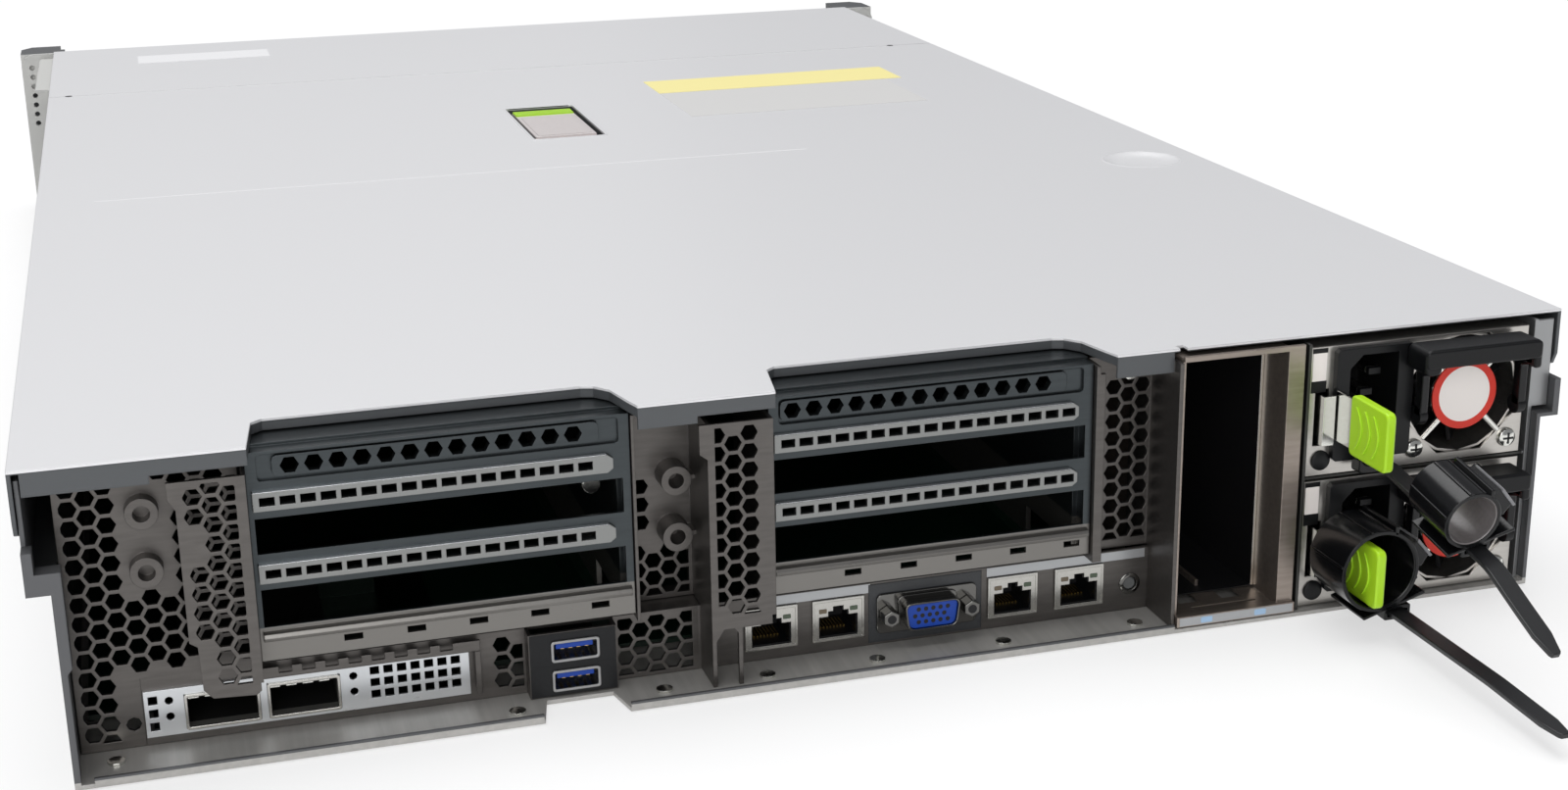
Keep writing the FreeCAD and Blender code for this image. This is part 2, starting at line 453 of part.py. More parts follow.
def monitor_port():
    x, z = VGA
    flange = plate(rect(x - 15.6, x + 15.6, z - 6.2, z + 6.2, 1.5),
                   [[(x - 7.6, z + 3.6), (x + 7.6, z + 3.6), (x + 6.6, z - 3.6), (x - 6.6, z - 3.6)]],
                   "y", Y_PANEL, Y_PANEL + 1.0)
    shell = plate([(x - 8.6, z + 4.4), (x + 8.6, z + 4.4), (x + 7.4, z - 4.4), (x - 7.4, z - 4.4)],
                  [[(x - 8.1, z + 3.9), (x + 8.1, z + 3.9), (x + 6.9, z - 3.9), (x - 6.9, z - 3.9)]],
                  "y", Y_PANEL + 1.0, 361.4)
    pins = [ngon(x + 2.3 * k + (1.15 if row == 1 else 0), z - 2.1 + 2.1 * row, 0.5, 6)
            for row in range(3) for k in range(-2, 3)]
    insert = plate([(x - 7.6, z + 3.6), (x + 7.6, z + 3.6), (x + 6.6, z - 3.6), (x - 6.6, z - 3.6)], pins,
                   "y", Y_PANEL - 6.0, 360.6)
    jacks = [plate(ngon(x + s * 12.5, z, 2.6, 6), [ngon(x + s * 12.5, z, 1.4, 8)], "y", Y_PANEL + 1.0, 361.0)
             for s in (-1, 1)]
    return fuse(flange, shell, insert, *jacks)


def id_button():
    return drum(ID_BUTTON[0], ID_BUTTON[1], 1.9, "y", Y_PANEL - 3.4, Y_PANEL - 0.2, 12)


RIVETS = ((206.0, 362.5), (99.5, 366.5), (57.6, 365.5), (27.4, 365.5), (-5.7, 365.5), (-44.8, 365.5), (-87.0, 365.5))


def rivets():
    heads = [drum(x, y, 2.4, "z", SHEET, SHEET + 0.7, 10) for x, y in RIVETS]
    screw_3 = drum(-88.2, 77.6, 3.0, "y", MESH_Y + 1.2, MESH_Y + 3.2, 10)
    studs = []
    for y in (-250, 20, 260):
        for s in (-1, 1):
            shank = plate(ngon(y, 28.0, 2.4, 10), [], "x", s * HALF_LOWER, s * (HALF_LOWER + 3.0))
            head = plate(ngon(y, 28.0, 4.2, 10), [], "x", s * (HALF_LOWER + 3.0), s * (HALF_LOWER + 4.6))
            studs.append(fuse(shank, head))
    return group(heads + [screw_3] + studs)


# ---- inside ------------------------------------------------------------------------------------------------
def fan_x(i):
    return FAN_PITCH * (i - (FAN_COUNT - 1) / 2)


def fan_housings():
    out = []
    for i in range(FAN_COUNT):
        x = fan_x(i)
        half = FAN_PITCH / 2 - 2.0
        frame = plate(rect(x - half, x + half, SHEET, 82.0, 3.0, 1), [ngon(x, 43, half - 2.5, 20)], "y", -172.0, -134.0)
        bar = half - 2.2
        struts = [box(x - bar, x + bar, -137.0, -134.0, 42.0, 44.0), box(x - 1, x + 1, -137.0, -134.0, 43 - bar, 43 + bar)]
        motor = drum(x, 43, 12.0, "y", -139.0, -134.0, 12)
        out.append(fuse(frame, *struts, motor))
    return group(out)


def rotor(x, z, y0, y1, r_hub, r_tip, blades):
    hub = cyl((x, y0, z), "y", r_hub, y1 - y0)
    parts = [hub]
    mid = (y0 + y1) / 2
    for k in range(blades):
        blade = box(r_hub - 1.2, r_tip, -(y1 - y0) * 0.42, (y1 - y0) * 0.42, -0.6, 0.6)
        blade.rotate(V(0, 0, 0), V(1, 0, 0), 42)
        blade.rotate(V(0, 0, 0), V(0, 1, 0), 360.0 * k / blades)
        blade.translate(V(x, mid, z))
        parts.append(blade)
    return fuse(*parts)


def motherboard():
    edge, corner, side = PSU_X + 2.0, RIB_X + 2.5, HALF_LOWER - 3.5
    board = plate([(edge, -126), (edge, 258), (corner, 258), (corner, 336), (side, 336), (side, -126)],
                  [ngon(60.0, -110.0, 2.0, 8)], "z", 2.0, 3.6)
    sockets = [box(x - 39, x + 39, y - 39, y + 39, 3.6, 7.6) for x, y in ((-60, -40), (105, -40))]
    banks = [box(x - 0.0, x + 5.2, -108, 34, 3.6, 6.4) for x in memory_x()]
    slots = [box(b + 1.8 - 4, b + 1.8 + 4, 204, 320, 3.6, 15.0) for b in (SLOTS[0][1], SLOTS[1][1])]
    chip = box(0, 32, 130, 162, 3.6, 12.0)
    battery = drum(170.0, 150.0, 10.5, "z", 3.6, 8.0, 16)
    power = box(edge + 2.5, edge + 16.5, 60, 160, 3.6, 18.0)
    return group([board, *sockets, *banks, *slots, chip, battery, power])


def memory_x():
    xs = []
    for start in (-134.0, -19.0, 30.5, 147.0):
        xs += [start + 9.6 * k for k in range({-134.0: 3, -19.0: 4, 30.5: 3, 147.0: 6}[start])]
    return xs


def memory_modules():
    return group([box(x + 1.9, x + 3.3, -104, 30, 6.4, 36.0) for x in memory_x()])


def heatsinks():
    out = []
    for x in (-60, 105):
        base = box(x - 36, x + 36, -94, 14, 7.6, 12.0)
        fins = [box(x - 36 + 6 * k, x - 36 + 6 * k + 0.9, -94, 14, 12.0, 66.0) for k in range(12)] + \
            [box(x + 35.1, x + 36, -94, 14, 12.0, 66.0)]
        out.append(fuse(base, *fins))
    return group(out)


def drive_x(i):
    return DRIVE_PITCH * (i - (DRIVE_COUNT - 1) / 2)


def drive_cage():
    bays = [rect(drive_x(i) - 8.0, drive_x(i) + 8.0, 5.0, 81.0) for i in range(DRIVE_COUNT)]
    outer, inner = CAGE_HALF, CAGE_HALF - 1.2
    tag_slot = rect(outer, outer + 2.8, 23.4, 60.6)
    front = plate(rect(1.7 - HALF_LOWER, HALF_LOWER - 1.7, 1.3, 85.6), bays + [tag_slot], "y", Y_EAR - 4.0, Y_EAR - 0.2)
    back = plate(rect(-outer, outer, 1.3, 85.6), bays, "y", -205.0, -203.0)
    sides = [box(s * outer, s * inner, Y_EAR - 0.2, -205.0, 1.3, 85.6) for s in (-1, 1)]
    base = box(-inner, inner, Y_EAR - 0.2, -205.0, 1.3, 3.0)
    lid = box(-inner, inner, Y_EAR - 0.2, -205.0, 84.2, 85.6)
    return fuse(front, back, *sides, base, lid)


def drive_backplane():
    holes = [rect(drive_x(i) - 4.0, drive_x(i) + 4.0, 64.0, 78.0) for i in range(0, DRIVE_COUNT, 2)]
    return plate(rect(1.4 - CAGE_HALF, CAGE_HALF - 1.4, SHEET, WALL_TOP), holes, "y", -198.0, -195.6)


MOVING_BAY = 3


def drive_blanks():
    out = []
    for i in range(DRIVE_COUNT):
        if i == MOVING_BAY:
            continue
        x = drive_x(i)
        body = box(x - 7.5, x + 7.5, -352.0, -214.0, 5.8, 80.2)
        cheek = plate(rect(x - 7.9, x + 7.9, 5.2, 80.8, 1.2, 1), [rect(x - 5.2, x + 5.2, 20.0, 66.0, 0)],
                      "y", -356.0, -352.0)
        core = box(x - 4.2, x + 4.2, -355.0, -352.0, 22.0, 64.0)
        out.append(fuse(body, cheek, core))
    return group(out)


def drive_carrier():
    x = drive_x(MOVING_BAY)
    disk = box(x - 7.5, x + 7.5, -346.0, -214.0, 5.8, 80.2)
    sill = box(x - 7.5, x + 7.5, -354.0, -346.0, 5.8, 10.2)
    lintel = box(x - 7.5, x + 7.5, -356.0, -346.0, 72.2, 80.2)
    cheeks = [box(x + s * 7.5, x + s * 6.4, -354.0, -346.0, 10.2, 72.2) for s in (-1, 1)]
    return fuse(disk, sill, lintel, *cheeks)


def drive_lever():
    x = drive_x(MOVING_BAY)
    bar = plate([(-350.5, 13.0), (-354.0, 13.0), (-357.5, 16.5), (-359.0, 20.0), (-359.0, 60.0), (-357.0, 71.4), (-352.6, 71.4),
                 (-354.2, 60.0), (-353.2, 18.0), (-350.5, 17.0)], [], "x", x - 5.6, x + 5.6)
    heel = cyl((x - 5.6, -351.0, 14.0), "x", 2.4, 11.2)
    return fuse(bar, heel)


def ear_brackets():
    flat, top = HALF_TOP + GAP, UNDER_COVER
    holes = [ngon(HALF_EAR - 5.3, top - 7.0 - 5.0 * k, 1.4, 8) for k in range(7)]
    flap = plate([(flat, 2.0), (HALF_EAR - 5.3, 2.0), (HALF_EAR, 7.0), (HALF_EAR, top - 6.0), (HALF_EAR - 1.8, top - 1.8),
                  (HALF_EAR - 5.8, top), (flat, top)], holes, "y", Y_EAR - 2.4, Y_EAR)
    arm = box(flat, flat + 1.5, Y_EAR, -231.0, top - 26.0, top - 2.5)
    strip = box(flat + 1.5, HALF_EAR - 9.7, Y_EAR, -233.0, top - 3.8, top - 2.5)
    block = box(HALF_TOP - 5.4, flat, Y_EAR - 14.0, Y_EAR - 2.4, 2.0, top)
    inner = box(HALF_TOP - 5.4, flat, Y_EAR - 2.4, Y_EAR - 0.2, 2.0, top)
    head = [(HALF_TOP - 3.0, Y_EAR - 2.4), (HALF_EAR, Y_EAR - 2.4), (HALF_EAR, Y_FACE + 7.5), (HALF_EAR - 5.3, Y_FACE),
            (HALF_TOP - 3.0, Y_FACE)]
    upper, lower = plate(head, [], "z", top - 20.0, top), plate(head, [], "z", 2.0, 14.0)
    web = box(HALF_TOP - 3.0, HALF_TOP + 0.5, Y_FACE, Y_EAR - 2.4, 14.0, top - 20.0)
    left = fuse(flap, arm, strip, block, inner, upper, lower, web)
    right = mirror_x(left)
    bore = plate(ngon(*BUTTON_AT, 4.0, 14), [], "y", Y_FACE - 0.5, Y_FACE + 5.5)
    return group([left, right.cut(bore)])


BUTTON_AT = (10.3 - HALF_EAR, 76.0)


def latch_lever(s):
    inner, pin = HALF_TOP + 1.0, HALF_TOP + 2.5
    bar = plate([(s * inner, -350.0), (s * (HALF_EAR - 2.7), -350.0), (s * (HALF_EAR - 0.7), -354.0),
                 (s * (HALF_EAR - 4.9), -363.0), (s * pin, -363.0), (s * inner, -361.4)], [], "z", 14.6, 65.4)
    return fuse(bar, cyl((s * pin, -361.5, 14.6), "z", 1.5, 50.8))


def power_button():
    return drum(*BUTTON_AT, 3.7, "y", Y_FACE - 0.2, Y_FACE + 3.1, 14)


def asset_tag():
    tab = box(CAGE_HALF + 0.3, CAGE_HALF + 2.3, -351.0, -256.0, 24.0, 60.0)
    pull = box(CAGE_HALF, CAGE_HALF + 6.0, -358.0, -351.0, 22.0, 62.0)
    return fuse(tab, pull)


# ---- labels ---------------------------------------------------------------------------------------------------
def cover_label():
    return group([box(-174.0, -53.0, -126.0, -92.0, HEIGHT, HEIGHT + 0.12),
                  box(-165.0, -53.0, -91.4, -30.0, HEIGHT, HEIGHT + 0.1)])


def front_label():
    return group([box(114.0, 181.0, -302.0, -277.0, HEIGHT, HEIGHT + 0.12)])


# ---- power supplies ------------------------------------------------------------------------------------------
FAN_X = PSU_X - 52.4           # fan centre
FAN_UP = 20.7                  # fan centre above the supply's underside
FAN_OPEN = 18.4                # octagonal fan opening, centre to flat
HUB_R = 10.9                   # disc at the centre of the fan guard
HANDLE_X = (PSU_X - 30.5, PSU_X - 69.9)
HANDLE_PIVOT = (374.0, 17.0)
INLET_X = (PSU_X - 7.8, PSU_X - 33.4)
SCREW_X = (PSU_X - 36.5, PSU_X - 68.5)
SCREW_UP = 5.0


def polar(cu, cv, r, degrees):
    return (cu + r * math.cos(math.radians(degrees)), cv + r * math.sin(math.radians(degrees)))


def guard_opening(cu, cv, middle):
    """One of the four openings of the fan guard, between two thin spokes."""
    vertex = FAN_OPEN / math.cos(math.radians(22.5))
    outer = [polar(cu, cv, r, middle + a)
             for a, r in ((-42.5, FAN_OPEN), (-22.5, vertex), (22.5, vertex), (42.5, FAN_OPEN))]
    inner = [polar(cu, cv, HUB_R + 0.1, middle + a) for a in (41.0, 14.0, -14.0, -41.0)]
    return outer + inner


def psu_case(z):
    x0, x1 = PSU_X - PSU_W, PSU_X
    y0 = PSU_Y - PSU_L
    fx, fz = FAN_X, z + FAN_UP
    shell = plate(rect(x0, x1, z, z + PSU_H), [rect(x0 + 0.8, x1 - 0.8, z + 0.8, z + PSU_H - 0.8)], "y",
                  y0, PSU_Y - 1.0)
    end = plate(rect(x0, x1, z, z + PSU_H), [rect(x0 + 6, x0 + 40, z + 8, z + 30)], "y", y0 - 0.8, y0)
    card = box(x0 + 12, x0 + 50, y0 - 8.0, y0 - 0.8, z + 4, z + 5.6)
    holes = [guard_opening(fx, fz, 90.0 * k) for k in range(4)]
    inlet_hole = rect(INLET_X[0] - 0.6, INLET_X[1] + 0.8, z + 5.4, z + 38.4)
    slot = rect(x1 - 2.2, x1 - 6.8, z + 9.4, z + 27.0)
    face = plate(rect(x0, x1, z, z + PSU_H), holes + [inlet_hole, slot], "y", PSU_Y - 1.0, PSU_Y)
    badge = drum(fx, fz, HUB_R, "y", PSU_Y, PSU_Y + 0.5, 20)
    tunnel = tube(fx, fz, FAN_OPEN + 0.8, FAN_OPEN, "y", PSU_Y - 24.0, PSU_Y - 1.0, 16)
    plug = drum(x1 - 5.2, z + 4.4, 2.7, "y", PSU_Y, PSU_Y + 0.6, 10)
    return fuse(shell, end, card, face, badge, tunnel, plug)


def psu_inlet(z):
    """Appliance inlet turned on its side: a mouth with two cut corners and three flat pins."""
    a, b = INLET_X
    outer = rect(a, b, z + 4.6, z + 39.2, 1.0, 1)
    near, far = a - 4.3, a - 20.3
    mouth = [(near, z + 18.0), (near - 4.0, z + 14.0), (far, z + 14.0), (far, z + 37.0), (near - 4.0, z + 37.0),
             (near, z + 33.0)]
    rim = plate(outer, [mouth], "y", PSU_Y, PSU_Y + 2.4)
    cup = plate(rect(a - 2.5, b + 3.3, z + 11.6, z + 38.2), [mouth], "y", PSU_Y - 20.0, PSU_Y)
    back = box(a - 2.5, b + 3.3, PSU_Y - 22.0, PSU_Y - 20.0, z + 11.6, z + 38.2)
    pins = [box(x, x - 4.0, PSU_Y - 20.0, PSU_Y - 3.0, z + up, z + up + 2.0)
            for x, up in ((far + 6.6, 16.2), (far + 6.6, 28.8), (far + 9.1, 22.5))]
    return fuse(rim, cup, back, *pins)


def psu_handle(z):
    """Folding bail, stored upright above the fan: top, front band, two stepped arms and their pivot ears."""
    py, pz = HANDLE_PIVOT[0], z + HANDLE_PIVOT[1]
    y0, y1, top = py - 1.1, py + 9.4, z + 39.6
    left, right = HANDLE_X
    arm = [(y0, pz), (py + 2.6, pz), (py + 2.6, z + 30.6), (y1 - 1.5, z + 30.6), (y1, z + 32.0), (y1, top), (y0, top)]
    arms = [plate(arm, [], "x", x, x - 2.6) for x in (left - 3.3, right + 2.6)]
    roof = box(left, right, y0, y1, top - 2.4, top)
    band = box(left, right, y1 - 2.0, y1, top - 4.0, top - 2.4)
    shoulder = box(left, left - 3.3, py + 1.0, y1, z + 31.6, top - 2.4)
    ears = [cyl((x, py, pz), "x", 3.0, 2.6) for x in (left - 5.9, right)]
    return fuse(roof, band, shoulder, *arms, *ears)


def psu_latch(z):
    """Sprung steel release strip beside the inlet."""
    x = PSU_X - 3.2
    flat = box(x, x - 3.9, PSU_Y + 2.8, PSU_Y + 3.6, z + 10.4, z + 25.6)
    leg = box(x, x - 0.8, PSU_Y - 40.0, PSU_Y + 2.8, z + 10.4, z + 25.6)
    pawl = box(x + 0.8, x, PSU_Y - 40.0, PSU_Y - 36.0, z + 13.0, z + 22.0)
    return fuse(flat, leg, pawl)


def psu_tab(z):
    """Release tab with three bowed finger ribs."""
    x, y0, y1 = PSU_X - 7.1, PSU_Y + 2.8, PSU_Y + 32.0
    low, high = z + 10.2, z + 28.8
    outline = [(y0, low + 0.6), (y0 + 1.2, low), (y1 - 1.8, low + 0.3), (y1, low + 2.0), (y1, high - 2.0),
               (y1 - 1.8, high - 0.3), (y0 + 1.2, high), (y0, high - 0.6)]
    body = plate(outline, [], "x", x, x - 2.9)
    middle = (low + high) / 2
    ribs = []
    for k in range(3):
        y = y0 + 6.5 + 6.0 * k
        ribs.append(plate([(y, middle - 6.0), (y + 1.8, middle), (y, middle + 6.0), (y + 1.1, middle + 6.0),
                           (y + 3.0, middle), (y + 1.1, middle - 6.0)], [], "x", x, x + 0.6))
    return fuse(body, *ribs)


def screw(x, z):
    head = drum(x, z, 2.9, "y", PSU_Y, PSU_Y + 1.2, 12)
    dome = drum(x, z, 2.1, "y", PSU_Y + 1.2, PSU_Y + 1.7, 12)
    cross = [box(x - 1.7, x + 1.7, PSU_Y + 0.9, PSU_Y + 2.0, z - 0.35, z + 0.35),
             box(x - 0.35, x + 0.35, PSU_Y + 0.9, PSU_Y + 2.0, z - 1.7, z + 1.7)]
    return fuse(head, dome).cut(cross[0]).cut(cross[1])


def psu_screws(z):
    return group([screw(x, z + SCREW_UP) for x in SCREW_X])


# strap: path in Y and Z; run: the straight stretch that the clamp slides on; ring: centre X, centre Y, bore radius
STRAP_X = PSU_X - 18.5
STRAP_T, STRAP_W = 1.6, 5.7
STRAPS = ({"path": ((372.8, 47.3), (385.0, 49.9), (398.0, 47.6), (441.0, 39.6), (455.0, 33.2), (471.0, 26.2)),
           "run": (2, 3), "ring": (PSU_X - 14.7, 424.0, 7.2)},
          {"path": ((372.8, 5.6), (378.0, 7.7), (402.0, 7.7), (446.0, 7.7), (478.0, 6.4)),
           "run": (1, 3), "ring": (PSU_X - 11.1, 388.0, 11.2)})
RING_T, RING_HALF = 1.4, 9.5
RING_ROLL = 17.0               # roll of the ring about the strap's direction


def psu_strap(k):
    """Flat strap that carries the cable clamp; anchored below the inlet, blunt at the tip."""
    path = STRAPS[k]["path"]
    upper, lower = [], []
    for i, (y, z) in enumerate(path):
        a, b = path[max(i - 1, 0)], path[min(i + 1, len(path) - 1)]
        n = math.hypot(b[0] - a[0], b[1] - a[1])
        ny, nz = -(b[1] - a[1]) / n * STRAP_T / 2, (b[0] - a[0]) / n * STRAP_T / 2
        upper.append((y + ny, z + nz))
        lower.append((y - ny, z - nz))
    w = STRAP_W / 2
    band = plate(upper + lower[::-1], [], "x", STRAP_X - w, STRAP_X + w)
    tip_y = path[-1][0]
    for sign in (-1, 1):
        band = band.cut(plate([(STRAP_X + sign * w, tip_y - 6.5), (STRAP_X + sign * (w + 1), tip_y + 2.0),
                               (STRAP_X + sign * 1.2, tip_y + 2.0)], [], "z", 0, 80))
    z0 = path[0][1]
    anchor = box(STRAP_X + 4.4, STRAP_X - 4.4, PSU_Y + 2.4, PSU_Y + 7.5, z0 - 2.2, z0 + 2.6)
    return fuse(band, anchor)


def rolled(u, w):
    """A point of the clamp's section, rolled about the ring's centre."""
    c, s = math.cos(math.radians(RING_ROLL)), math.sin(math.radians(RING_ROLL))
    return (c * u + s * w, -s * u + c * w)


def cable_clamp(k):
    """Hinged ring on a rolled foot, with a runner on the strap; built level, then set to the strap's slope."""
    s = STRAPS[k]
    x, y, r_in = s["ring"]
    (ya, za), (yb, zb) = (s["path"][i] for i in s["run"])
    slope = math.atan2(zb - za, yb - ya)
    r, half = r_in + RING_T, RING_HALF
    sx, t, w = STRAP_X - x, STRAP_T / 2 + 0.3, STRAP_W / 2 + 0.4
    lift = t + r + 0.7 + max(0.0, (sx + w) * math.sin(math.radians(RING_ROLL)))
    ring = tube(0, lift, r, r_in, "y", -half, half, 20)
    foot = plate([(u, lift + v) for u, v in (rolled(a, b) for a, b in (
        (-12.2, -r - 0.3), (8.7, -r - 0.3), (8.7, -r + 0.9), (-12.2, -r + 0.9)))], [], "y", -half, half)
    catch = plate([(u, lift + v) for u, v in ((2.1 - r, 5.0), (-0.8 - r, 8.0), (-5.7 - r, 2.2), (-2.4 - r, -1.0),
                                              (0.6 - r, -1.0))], [], "y", 2.0 - half, half)
    crest = math.sqrt(r * r - 4.6 ** 2)
    fin = box(-5.2, -4.0, -half, half, lift + crest - 0.9, lift + crest + 1.9)
    rail = box(r - 0.5, r + 0.5, -half, half, lift + 0.4, lift + 1.4)
    runner = plate(rect(sx - w - 1.0, sx + w + 1.0, -t - 1.0, t + 1.2), [rect(sx - w, sx + w, -t, t)], "y",
                   1.5 - half, half - 1.5)
    clamp = fuse(ring, foot, catch, fin, rail, runner)
    clamp.rotate(V(0, 0, 0), V(1, 0, 0), math.degrees(slope))
    clamp.translate(V(x, y, za + (y - ya) * math.tan(slope)))
    return clamp


# ---- build ------------------------------------------------------------------------------------------------------
save("chassis_tub", chassis_tub())
save("front_top_panel", front_top_panel())
save("top_cover", top_cover())
save("cover_latch", cover_latch())
save("rear_panel", rear_panel())
save("rear_columns", rear_columns())
save("riser_1_bracket", slot_bracket(*SLOTS[0][:3]))
save("riser_2_bracket", slot_bracket(*SLOTS[1][:3]))
save("slot_blanks", group([slot_blank(a, b, first) for a, b, _, first in SLOTS]))
save("drive_bay_frame", drive_bay_frame())
save("psu_bay", psu_bay())
save("network_card", network_card())
save("transceiver_cages", transceiver_cages())
save("usb_ports", usb_ports())
save("network_ports", network_ports())
save("monitor_port", monitor_port())
save("id_button", id_button())
save("rivets", rivets())
save("fan_housings", fan_housings())
for i in range(FAN_COUNT):
    save("fan_rotor_%d" % (i + 1), rotor(fan_x(i), 43.0, -168.0, -142.0, 15.0, 28.5, 7))
save("motherboard", motherboard())
save("heatsinks", heatsinks())
save("memory_modules", memory_modules())
save("drive_cage", drive_cage())
save("drive_backplane", drive_backplane())
save("drive_blanks", drive_blanks())
save("drive_carrier", drive_carrier())
save("drive_lever", drive_lever())
save("ear_brackets", ear_brackets())
save("latch_lever_left", latch_lever(-1))
save("latch_lever_right", latch_lever(1))
save("power_button", power_button())
save("asset_tag", asset_tag())
save("cover_label", cover_label())
save("front_label", front_label())
for k, z in enumerate(PSU_Z):
    tag = "psu_%d_" % (k + 1)
    save(tag + "case", psu_case(z))
    save(tag + "inlet", psu_inlet(z))
    save(tag + "fan_rotor", rotor(FAN_X, z + FAN_UP, PSU_Y - 16.0, PSU_Y - 4.0, 9.0, 16.8, 7))
    save(tag + "handle", psu_handle(z))
    save(tag + "latch", psu_latch(z))
    save(tag + "tab", psu_tab(z))
    save(tag + "screws", psu_screws(z))
    save(tag + "strap", psu_strap(k))
    save(tag + "clamp", cable_clamp(k))
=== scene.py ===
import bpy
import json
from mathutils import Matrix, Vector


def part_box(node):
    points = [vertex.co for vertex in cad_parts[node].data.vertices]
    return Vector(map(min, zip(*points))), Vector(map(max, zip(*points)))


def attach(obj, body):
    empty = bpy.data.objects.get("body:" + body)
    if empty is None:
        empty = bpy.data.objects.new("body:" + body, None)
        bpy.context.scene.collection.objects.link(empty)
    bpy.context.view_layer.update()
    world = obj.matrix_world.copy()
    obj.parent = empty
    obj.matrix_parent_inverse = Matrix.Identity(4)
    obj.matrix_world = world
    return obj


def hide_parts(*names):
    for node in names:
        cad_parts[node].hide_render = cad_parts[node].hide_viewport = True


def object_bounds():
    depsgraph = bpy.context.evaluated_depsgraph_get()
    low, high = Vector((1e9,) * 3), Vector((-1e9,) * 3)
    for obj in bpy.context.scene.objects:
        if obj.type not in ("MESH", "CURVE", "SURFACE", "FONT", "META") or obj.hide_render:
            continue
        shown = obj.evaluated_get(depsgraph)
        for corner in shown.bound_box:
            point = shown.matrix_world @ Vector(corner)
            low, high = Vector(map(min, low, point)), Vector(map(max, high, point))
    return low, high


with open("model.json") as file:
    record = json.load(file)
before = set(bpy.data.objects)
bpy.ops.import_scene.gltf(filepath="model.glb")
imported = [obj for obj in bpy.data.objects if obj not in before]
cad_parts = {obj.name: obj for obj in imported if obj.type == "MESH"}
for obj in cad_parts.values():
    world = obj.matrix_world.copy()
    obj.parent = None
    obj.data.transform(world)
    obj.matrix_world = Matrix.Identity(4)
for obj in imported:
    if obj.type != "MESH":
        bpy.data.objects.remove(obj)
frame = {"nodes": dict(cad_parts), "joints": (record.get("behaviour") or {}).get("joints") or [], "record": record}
import json
import math

import bmesh
import bpy
from mathutils import Matrix, Vector

# 2U rack server. Lengths below are millimetres and are turned to metres where a mesh is made.
# Places come from the frame (node boxes, joint positions and stated openings), plus offsets in mm.

MM = 0.001
size_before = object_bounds()
RECORD = frame["record"]
JOINTS = {j["name"]: j for j in frame["joints"]}
OPENINGS = {o["name"]: o["box_m"] for o in RECORD["physics"]["openings"]}


def span(node):
    """Lowest and highest corner of a CAD node, in mm."""
    lo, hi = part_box(node)
    return lo / MM, hi / MM


def opening(name):
    """Lowest and highest corner of a stated opening, in mm."""
    lo, hi = OPENINGS[name]
    return Vector(lo) / MM, Vector(hi) / MM


def pivot(joint):
    """Place of a joint's axis, in mm."""
    return Vector(JOINTS[joint]["pos_m"]) / MM


# ---- materials -----------------------------------------------------------------------------------
def material(name, colour, metal=0.0, rough=0.4, grain=0.0, grain_size=900.0, stretch=(1, 1, 1), edge=0.0,
             bump=0.0, coat=0.0, spread=0.12, gloss=0.5):
    """Principled material with procedural grain; edge is the radius (mm) that its edges look rounded to."""
    m = bpy.data.materials.new(name)
    m.use_nodes = True
    tree, shader = m.node_tree, m.node_tree.nodes["Principled BSDF"]
    shader.inputs["Base Color"].default_value = (*colour, 1)
    shader.inputs["Metallic"].default_value = metal
    shader.inputs["Roughness"].default_value = rough
    shader.inputs["Coat Weight"].default_value = coat
    shader.inputs["Specular IOR Level"].default_value = gloss
    normal = None
    if grain or bump:
        place = tree.nodes.new("ShaderNodeTexCoord")
        scale = tree.nodes.new("ShaderNodeMapping")
        noise = tree.nodes.new("ShaderNodeTexNoise")
        scale.inputs["Scale"].default_value = stretch
        noise.inputs["Scale"].default_value = grain_size
        noise.inputs["Detail"].default_value = 3.0
        tree.links.new(place.outputs["Object"], scale.inputs["Vector"])
        tree.links.new(scale.outputs["Vector"], noise.inputs["Vector"])
        if grain:
            ramp = tree.nodes.new("ShaderNodeValToRGB")
            dark = tuple(c * (1 - grain) for c in colour)
            light = tuple(min(1.0, c * (1 + grain)) for c in colour)
            ramp.color_ramp.elements[0].position, ramp.color_ramp.elements[0].color = 0.35, (*dark, 1)
            ramp.color_ramp.elements[1].position, ramp.color_ramp.elements[1].color = 0.65, (*light, 1)
            tree.links.new(noise.outputs["Fac"], ramp.inputs["Fac"])
            tree.links.new(ramp.outputs["Color"], shader.inputs["Base Color"])
            vary = tree.nodes.new("ShaderNodeMapRange")
            vary.inputs["To Min"].default_value = rough - spread / 2
            vary.inputs["To Max"].default_value = rough + spread / 2
            tree.links.new(noise.outputs["Fac"], vary.inputs["Value"])
            tree.links.new(vary.outputs["Result"], shader.inputs["Roughness"])
        if bump:
            relief = tree.nodes.new("ShaderNodeBump")
            relief.inputs["Strength"].default_value = bump
            relief.inputs["Distance"].default_value = 0.0001
            tree.links.new(noise.outputs["Fac"], relief.inputs["Height"])
            normal = relief
    if edge:
        soft = tree.nodes.new("ShaderNodeBevel")
        soft.samples = 4
        soft.inputs["Radius"].default_value = edge * MM
        if normal:
            tree.links.new(soft.outputs["Normal"], normal.inputs["Normal"])
        else:
            normal = soft
    if normal:
        tree.links.new(normal.outputs["Normal"], shader.inputs["Normal"])
    return m


